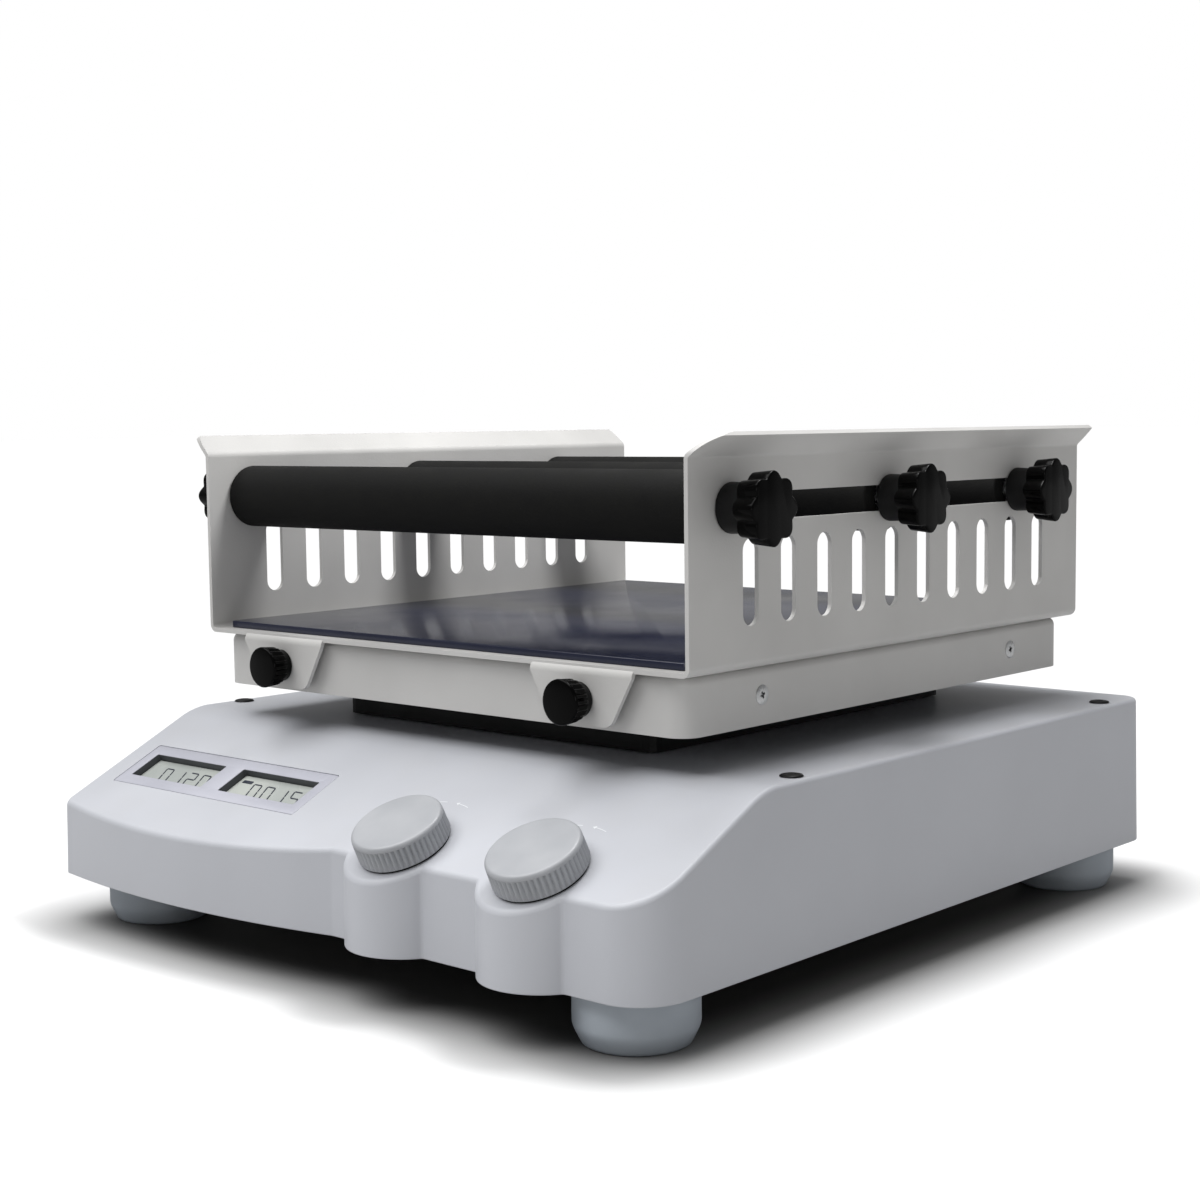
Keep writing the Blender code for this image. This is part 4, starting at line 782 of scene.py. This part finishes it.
def oblongTool(length, width):
    # An upright prism with round ends that crosses the whole clamp.
    bm = bmesh.new()
    bmesh.ops.create_circle(bm, cap_ends=True, segments=36, radius=width / 2)
    bmesh.ops.rotate(bm, matrix=Matrix.Rotation(radians(5), 3, "Z"), verts=bm.verts)
    for vertex in bm.verts:
        vertex.co.y += (length - width) / 2 * (1 if vertex.co.y > 0 else -1)
    raiseUp(bm, 0.5)
    return moved(bm, Matrix.Translation((0, 0, -0.25)))


def makeClampSheet():
    c = clamp
    lean = radians(c["flangeLean"])
    outer, side = c["bend"] + c["sheet"], c["width"] / 2
    turnZ = c["height"] + c["sheet"] / 2 * tan(lean / 2) - (c["bend"] + c["sheet"] / 2) * tan(lean / 2)
    tipX, tipZ = side + c["flangeOut"], c["height"] + c["flangeOut"] / tan(lean)
    bm = bmesh.new()
    tip = bm.verts.new((-tipX, tipZ, 0))
    near = (side + c["bend"] - c["bend"] * cos(lean), turnZ + c["bend"] * sin(lean))
    tip = penLine(bm, tip, -near[0], near[1])
    tip = penArc(bm, tip, (-side - c["bend"], turnZ), -c["flangeLean"], 6)
    tip = penLine(bm, tip, -side, outer)
    tip = penArc(bm, tip, (-side + outer, outer), 90, 10)
    tip = penLine(bm, tip, side - outer, 0)
    tip = penArc(bm, tip, (side - outer, outer), 90, 10)
    tip = penLine(bm, tip, side, turnZ)
    tip = penArc(bm, tip, (side + c["bend"], turnZ), -c["flangeLean"], 6)
    penLine(bm, tip, tipX, tipZ)
    bmesh.ops.remove_doubles(bm, verts=bm.verts, dist=1e-6)
    grown = vertsOf(bmesh.ops.extrude_edge_only(bm, edges=bm.edges[:])["geom"])
    bmesh.ops.translate(bm, vec=(0, 0, -c["depth"]), verts=grown)
    moved(bm, Matrix.Translation((0, frontY, plateZ)) @ toFront)
    wallOutwards(bm)
    bmesh.ops.solidify(bm, geom=bm.faces[:], thickness=c["sheet"])
    bmesh.ops.recalc_face_normals(bm, faces=bm.faces)
    return bm


def wallOutwards(bm):
    # Turn a folded open sheet so that its faces look away from the space it folds around.
    bmesh.ops.recalc_face_normals(bm, faces=bm.faces)
    lowest = min(bm.faces, key=lambda face: face.calc_center_median().z)
    if lowest.normal.z > 0:
        bmesh.ops.reverse_faces(bm, faces=bm.faces)


def makeTab(side):
    # The plate carried forward and bent down, tapering to a rounded tongue.
    c = clamp
    outer, thick = c["bend"] + c["sheet"], c["sheet"] - 0.00006
    top = c["sheet"] - 0.00003
    bm = bmesh.new()
    tip = bm.verts.new((3 * c["sheet"], top, 0))
    tip = penLine(bm, tip, -c["tabOut"] + outer, top)
    tip = penArc(bm, tip, (-c["tabOut"] + outer, top - outer), 90, 10)
    penLine(bm, tip, -c["tabOut"], -c["tabDrop"] - 0.001)
    grown = vertsOf(bmesh.ops.extrude_edge_only(bm, edges=bm.edges[:])["geom"])
    bmesh.ops.translate(bm, vec=(0, 0, c["tabWidth"]), verts=grown)
    bmesh.ops.translate(bm, vec=(0, 0, -c["tabWidth"] / 2), verts=bm.verts)
    moved(bm, Matrix.Translation((side * tray["tabSpread"], frontY, plateZ)) @ crosswise)
    bmesh.ops.recalc_face_normals(bm, faces=bm.faces)
    front = min(bm.faces, key=lambda face: face.calc_center_median().z)
    if front.normal.y > 0:
        bmesh.ops.reverse_faces(bm, faces=bm.faces)
    bmesh.ops.solidify(bm, geom=bm.faces[:], thickness=thick)
    bmesh.ops.recalc_face_normals(bm, faces=bm.faces)
    wide, narrow, low = c["tabWidth"] / 2, c["tabFoot"] / 2, -c["tabDrop"]
    trim = penShape([(-2 * wide, -c["sheet"]), (-wide, -c["sheet"]), (-narrow, low), (narrow, low),
                     (wide, -c["sheet"]), (2 * wide, -c["sheet"]), (2 * wide, 2 * low), (-2 * wide, 2 * low)])
    feet = [vertex for vertex in trim.verts if abs(vertex.co.y - low) < 1e-6]
    roundCorners(trim, feet, c["tabCorner"], 6)
    raiseUp(trim, 0.02)
    moved(trim, Matrix.Translation((side * tray["tabSpread"], frontY + 0.01, plateZ)) @ toFront)
    bm = combined(bm, trim)
    place = Matrix.Translation((side * tray["tabSpread"], frontY, thumbZ)) @ toFront
    return combined(bm, moved(drill(tray["studHole"], 0.01), place))


def clampCuts():
    c = clamp
    cuts = bmesh.new()
    pitch = (c["depth"] - 2 * c["slotToEnd"]) / (c["slots"] - 1)
    for number in range(c["slots"]):
        y = frontY + c["slotToEnd"] + number * pitch
        added(cuts, moved(oblongTool(c["slotLength"], c["slotWidth"]),
                          Matrix.Translation((0, y, plateZ + c["slotUp"])) @ crosswise))
    rail = moved(oblongTool(c["depth"] - 2 * c["railToEnd"], c["railWidth"]), Matrix.Rotation(radians(90), 4, "Z"))
    added(cuts, moved(rail, Matrix.Translation((0, platformY, plateZ + c["railUp"])) @ crosswise))
    return cuts


def flangeCut(side, end):
    # What a rounded flange corner leaves out.
    c = clamp
    length = c["cornerFront"] if (side, end) == (1, -1) else c["corner"]
    reach = c["flangeOut"] / tan(radians(c["flangeLean"])) + c["sheet"] * sin(radians(c["flangeLean"]))
    bm = bmesh.new()
    first = bm.verts.new((0, 1, 0))
    tip = penArc(bm, first, (0, 0), -90, 14)
    for x, y in ((1.5, 0), (1.5, 1.6), (0, 1.6)):
        tip = penLine(bm, tip, x, y)
    penClose(bm, first, tip)
    raiseUp(bm, 1)
    bmesh.ops.recalc_face_normals(bm, faces=bm.faces)
    moved(bm, Matrix.Diagonal((length, reach + c["sheet"] * 0.15, 0.04, 1)))
    if end < 0:
        moved(bm, Matrix.Diagonal((-1, 1, 1, 1)))
    y = platformY + end * (c["depth"] / 2 - length)
    place = Matrix.Translation((side * (c["width"] / 2 + c["flangeOut"] / 2) - 0.02, y, plateZ + c["height"]))
    return moved(bm, place @ crosswise)


sheet = combined(makeClampSheet(), clampCuts())
for side in (-1, 1):
    sheet = combined(sheet, makeTab(side), "UNION")
    for end in (-1, 1):
        sheet = combined(sheet, flangeCut(side, end))
finishPiece("clampFrameBent", sheet, "powderCoat", "platform", "coated", "clamp_frame", sharp=40,
            edge=clamp["cutEdge"], weighted=True)
print("clamp made")

# ---- mat
matLow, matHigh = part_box("platform_mat")
mat = roundedPlate(matHigh.x - matLow.x, matHigh.y - matLow.y, 0.003, matHigh.z - matLow.z, 6)
roundEdges(mat, rimEdges(mat), 0.0006, 3)
moved(mat, Matrix.Translation(((matLow.x + matHigh.x) / 2, (matLow.y + matHigh.y) / 2, matLow.z)))
finishPiece("gripMat", mat, "matRubber", "platform", "mat", "platform_mat")

# ---- rollers: foam sleeves on steel rods, star knobs at both ends
sleeve = dict(bore=0.0073, edge=0.0011)
star = dict(hubRadius=0.0105, hubLength=0.0114, radius=0.0153, dip=0.0024, lobes=8, thickness=0.011,
            taper=0.0010, edge=0.0009, gap=0.0003, bore=0.0043)


def makeSleeve(low, high):
    s = sleeve
    r, half = (high.z - low.z) / 2, (high.x - low.x) / 2
    corner = [(r - s["edge"] * (1 - sin(radians(a))), half - s["edge"] * (1 - cos(radians(a))))
              for a in (0, 22, 45, 68, 90)]
    profile = [(s["bore"], half)] + corner + [(radius, -z) for radius, z in corner[::-1]]
    profile += [(s["bore"], -half), (s["bore"], half)]
    return moved(turnedShape(profile, 96), Matrix.Translation((low + high) / 2) @ alongX)


def makeStar():
    # Lobed knob about Z, its back at Z = 0 and its flat front at the top.
    s = star
    bm = bmesh.new()
    bmesh.ops.create_circle(bm, cap_ends=True, segments=s["lobes"] * 16, radius=s["radius"])
    for vertex in bm.verts:
        turn = atan2(vertex.co.y, vertex.co.x)
        dip = s["dip"] * (1 - abs(cos(turn * s["lobes"] / 2)) ** 1.3)
        vertex.co *= 1 - dip / s["radius"]
    raised = raiseUp(bm, s["thickness"])
    lowered = [vertex for vertex in bm.verts if vertex not in set(raised)]
    shrink = 1 - s["taper"] / s["radius"]
    bmesh.ops.scale(bm, vec=(shrink, shrink, 1), verts=lowered)
    roundEdges(bm, rimEdges(bm) + rimEdges(bm, -1), s["edge"], 4)
    return bm


def makeHub():
    s = star
    r, length = s["hubRadius"], s["hubLength"]
    bore = s["bore"]
    return turnedShape([(bore, 0), (r - 0.0006, 0), (r - 0.0001, 0.0004), (r, 0.0010), (r - 0.0004, length - 0.0002),
                        (r - 0.0004, length + 0.0006), (bore, length + 0.0006), (bore, 0)], 64)


hubStart = clamp["width"] / 2 + star["gap"]
for row in ("front", "middle", "rear"):
    low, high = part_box("roller_sleeve_" + row)
    foam = finishPiece("foamSleeve_" + row, makeSleeve(low, high), "foamRubber", "roller_" + row, "foam",
                       "roller_sleeve_" + row)
    spot = middleOf("roller_sleeve_" + row)
    for sideName, side in sides:
        place = Matrix.Translation((side * hubStart, spot.y, spot.z)) @ outwards[side]
        body, node = f"star_{row}_{sideName}", f"star_knob_{row}_{sideName}"
        finishPiece(f"starKnob_{row}_{sideName}",
                    moved(makeStar(), place @ Matrix.Translation((0, 0, star["hubLength"]))), "glossBlack",
                    body, "black_plastic", node, sharp=60)
        finishPiece(f"starHub_{row}_{sideName}", moved(makeHub(), place), "dullBlack", body, "black_plastic")
print("rollers made")

# ---- thumb screws
thumb = dict(radius=0.0097, length=0.0125, gap=0.0003, stud=0.0025, studLength=0.013, ribs=20, ribDepth=0.0010)


def makeThumbScrew(side):
    t = thumb
    r, top = t["radius"], t["gap"] + t["length"]
    profile = [(0, top), (r - 0.0011, top), (r - 0.0005, top - 0.00015), (r - 0.0001, top - 0.0005),
               (r, top - 0.0010), (r, top - 0.0014), (r - 0.0002, top - 0.0030), (r - 0.0005, top - 0.0070),
               (r - 0.0008, top - 0.0084), (r * 0.83, top - 0.0092), (r * 0.78, top - 0.0100),
               (r * 0.78, t["gap"] + 0.0004), (r * 0.75, t["gap"]), (t["stud"], t["gap"]),
               (t["stud"], -t["studLength"]), (0, -t["studLength"])]
    bm = turnedShape(profile, t["ribs"] * 8)
    ribbed(bm, t["ribs"], t["ribDepth"], top - 0.0085, top - 0.0013, r * 0.86, 1.3)
    spot = Matrix.Translation((side * tray["tabSpread"], clampLow.y, thumbZ))
    return moved(bm, spot @ toFront)


for sideName, side in sides:
    finishPiece("thumbKnob_" + sideName, makeThumbScrew(side), "glossBlack", "thumb_" + sideName, "black_plastic",
                "thumb_screw_" + sideName, sharp=50)
print("thumb screws made")

# ---- mains side
finishPiece("mainsInlet", fromFrame("power_inlet"), "dullBlack", "base", "black_plastic", "power_inlet", edge=0.0005)
finishPiece("mainsRocker", fromFrame("power_rocker"), "glossBlack", "mains_rocker", "black_plastic", "power_rocker",
            edge=0.0004)

# ---- the frame's other nodes keep their own shape
slotSkins = {"housing": "housingEnamel", "coated": "powderCoat", "foot": "footRubber", "black_plastic": "dullBlack",
             "foam": "foamRubber", "knob": "knobPlastic", "bezel": "bezelPlastic", "display": "displayGrey",
             "mat": "matRubber", "steel": "platedSteel", "aluminium": "millAluminium", "board": "boardGreen"}
for name, node in cadNodes.items():
    for holder in node.material_slots:
        word = holder.material.name.split(".")[0] if holder.material else "steel"
        holder.material = skins[slotSkins.get(word, "platedSteel")]
print("inner parts finished")

# ---- floor, light and camera
# under, fade and inset set a painted shadow on the floor beneath the base
ground = dict(size=40, pale=0.97, bounce=0.58, under=0.05, fade=0.085, inset=0.035, rough=0.7, shine=0.2)
studio = dict(sky=0.31, white=(1, 1, 1, 1))


def makeFloorPaintedShadow(nodes, links, shader):
    # pale, with a painted shadow: darker under the base, fading out past its edge
    place, away = nodes.new("ShaderNodeTexCoord"), nodes.new("ShaderNodeVectorMath")
    beyond, nearest = nodes.new("ShaderNodeVectorMath"), nodes.new("ShaderNodeVectorMath")
    reach, fade = nodes.new("ShaderNodeVectorMath"), nodes.new("ShaderNodeMapRange")
    away.operation, beyond.operation, nearest.operation, reach.operation = "ABSOLUTE", "SUBTRACT", "MAXIMUM", "LENGTH"
    beyond.inputs[1].default_value = (housingHigh.x - ground["inset"], housingHigh.y - ground["inset"], 0)
    nearest.inputs[1].default_value = (0, 0, 0)
    links.new(place.outputs["Object"], away.inputs[0])
    links.new(away.outputs[0], beyond.inputs[0])
    links.new(beyond.outputs[0], nearest.inputs[0])
    links.new(nearest.outputs[0], reach.inputs[0])
    fade.interpolation_type = "SMOOTHSTEP"
    fade.inputs["From Max"].default_value = ground["fade"]
    links.new(reach.outputs["Value"], fade.inputs["Value"])
    tone = nodes.new("ShaderNodeMix")
    tone.data_type = "RGBA"
    # dark tone of the painted shadow under the base
    tone.inputs[6].default_value = (ground["under"],) * 3 + (1,)
    far = nodes.new("ShaderNodeMapRange")   # lit white, but throws back less light than it shows
    far.inputs["To Min"].default_value, far.inputs["To Max"].default_value = ground["bounce"], ground["pale"]
    links.new(nodes.new("ShaderNodeLightPath").outputs["Is Camera Ray"], far.inputs["Value"])
    links.new(far.outputs["Result"], tone.inputs[7])
    links.new(fade.outputs["Result"], tone.inputs[0])
    links.new(tone.outputs[2], shader.inputs["Base Color"])


floor = bmesh.new()
bmesh.ops.create_grid(floor, x_segments=1, y_segments=1, size=ground["size"])
floorMesh = bpy.data.meshes.new("floor")
floor.to_mesh(floorMesh)
floor.free()
floorPiece = placed("floor", floorMesh)
floorMaterial = bpy.data.materials.new("paleFloor")
floorMaterial.use_nodes = True
floorShader = floorMaterial.node_tree.nodes["Principled BSDF"]
floorShader.inputs["Roughness"].default_value = ground["rough"]
floorShader.inputs["Specular IOR Level"].default_value = ground["shine"]
makeFloorPaintedShadow(floorMaterial.node_tree.nodes, floorMaterial.node_tree.links, floorShader)
floorMesh.materials.append(floorMaterial)
floorPiece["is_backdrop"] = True

lamps = dict(
    sun=dict(kind="SUN", spot=(-0.42, -0.60, 1.75), power=2.75, spread=55),
    glint=dict(kind="AREA", spot=(1.25, -1.35, 0.50), power=5.0, spread=0.45, glossOnly=True),
    inside=dict(kind="AREA", spot=(0.11, 0.03, 0.60), power=2.0, spread=0.16),
)
lampsAim = (0, 0, 0.1)
for name, lamp in lamps.items():
    light = bpy.data.lights.new(name, lamp["kind"])
    light.energy = lamp["power"]
    if lamp["kind"] == "SUN":
        light.angle = radians(lamp["spread"])   # a very soft, even light
    else:
        light.shape, light.size = "SQUARE", lamp["spread"]
    source = placed(name, light)
    source.location = lamp["spot"]
    source.visible_diffuse = not lamp.get("glossOnly", False)
    source.rotation_euler = (Vector(lampsAim) - source.location).to_track_quat("-Z", "Y").to_euler()

world = bpy.data.worlds.new("studio")
bpy.context.scene.world = world
world.use_nodes = True
sky, skyOut = world.node_tree.nodes["Background"], world.node_tree.nodes["World Output"]
sky.inputs[0].default_value, sky.inputs[1].default_value = studio["white"], studio["sky"]
behind = world.node_tree.nodes.new("ShaderNodeBackground")   # plain white behind everything
behind.inputs[0].default_value = studio["white"]
ray, blend = world.node_tree.nodes.new("ShaderNodeLightPath"), world.node_tree.nodes.new("ShaderNodeMixShader")
for output, entry in ((ray.outputs["Is Camera Ray"], blend.inputs[0]), (sky.outputs[0], blend.inputs[1]),
                      (behind.outputs[0], blend.inputs[2]), (blend.outputs[0], skyOut.inputs[0])):
    world.node_tree.links.new(output, entry)
bpy.context.scene.view_settings.view_transform = "Standard"

view = dict(spot=(0.6388, -0.7189, 0.2384), azimuth=41.92, down=5.18, roll=-0.704, lens=58.53, sensor=36)
turn, tilt, roll = radians(view["azimuth"]), radians(view["down"]), radians(view["roll"])
forward = Vector((-sin(turn) * cos(tilt), cos(turn) * cos(tilt), -sin(tilt)))
level = Vector((cos(turn), sin(turn), 0))
upward = level.cross(forward)
right = level * cos(roll) + upward * sin(roll)
upward = upward * cos(roll) - level * sin(roll)
lens = bpy.data.cameras.new("camera")
lens.lens, lens.sensor_width = view["lens"], view["sensor"]
lens.clip_start, lens.clip_end = 0.01, 50
camera = placed("camera", lens)
camera.matrix_world = Matrix((right, upward, -forward)).transposed().to_4x4()
camera.matrix_world.translation = Vector(view["spot"])
bpy.context.scene.camera = camera

low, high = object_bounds()
print("scene ready")
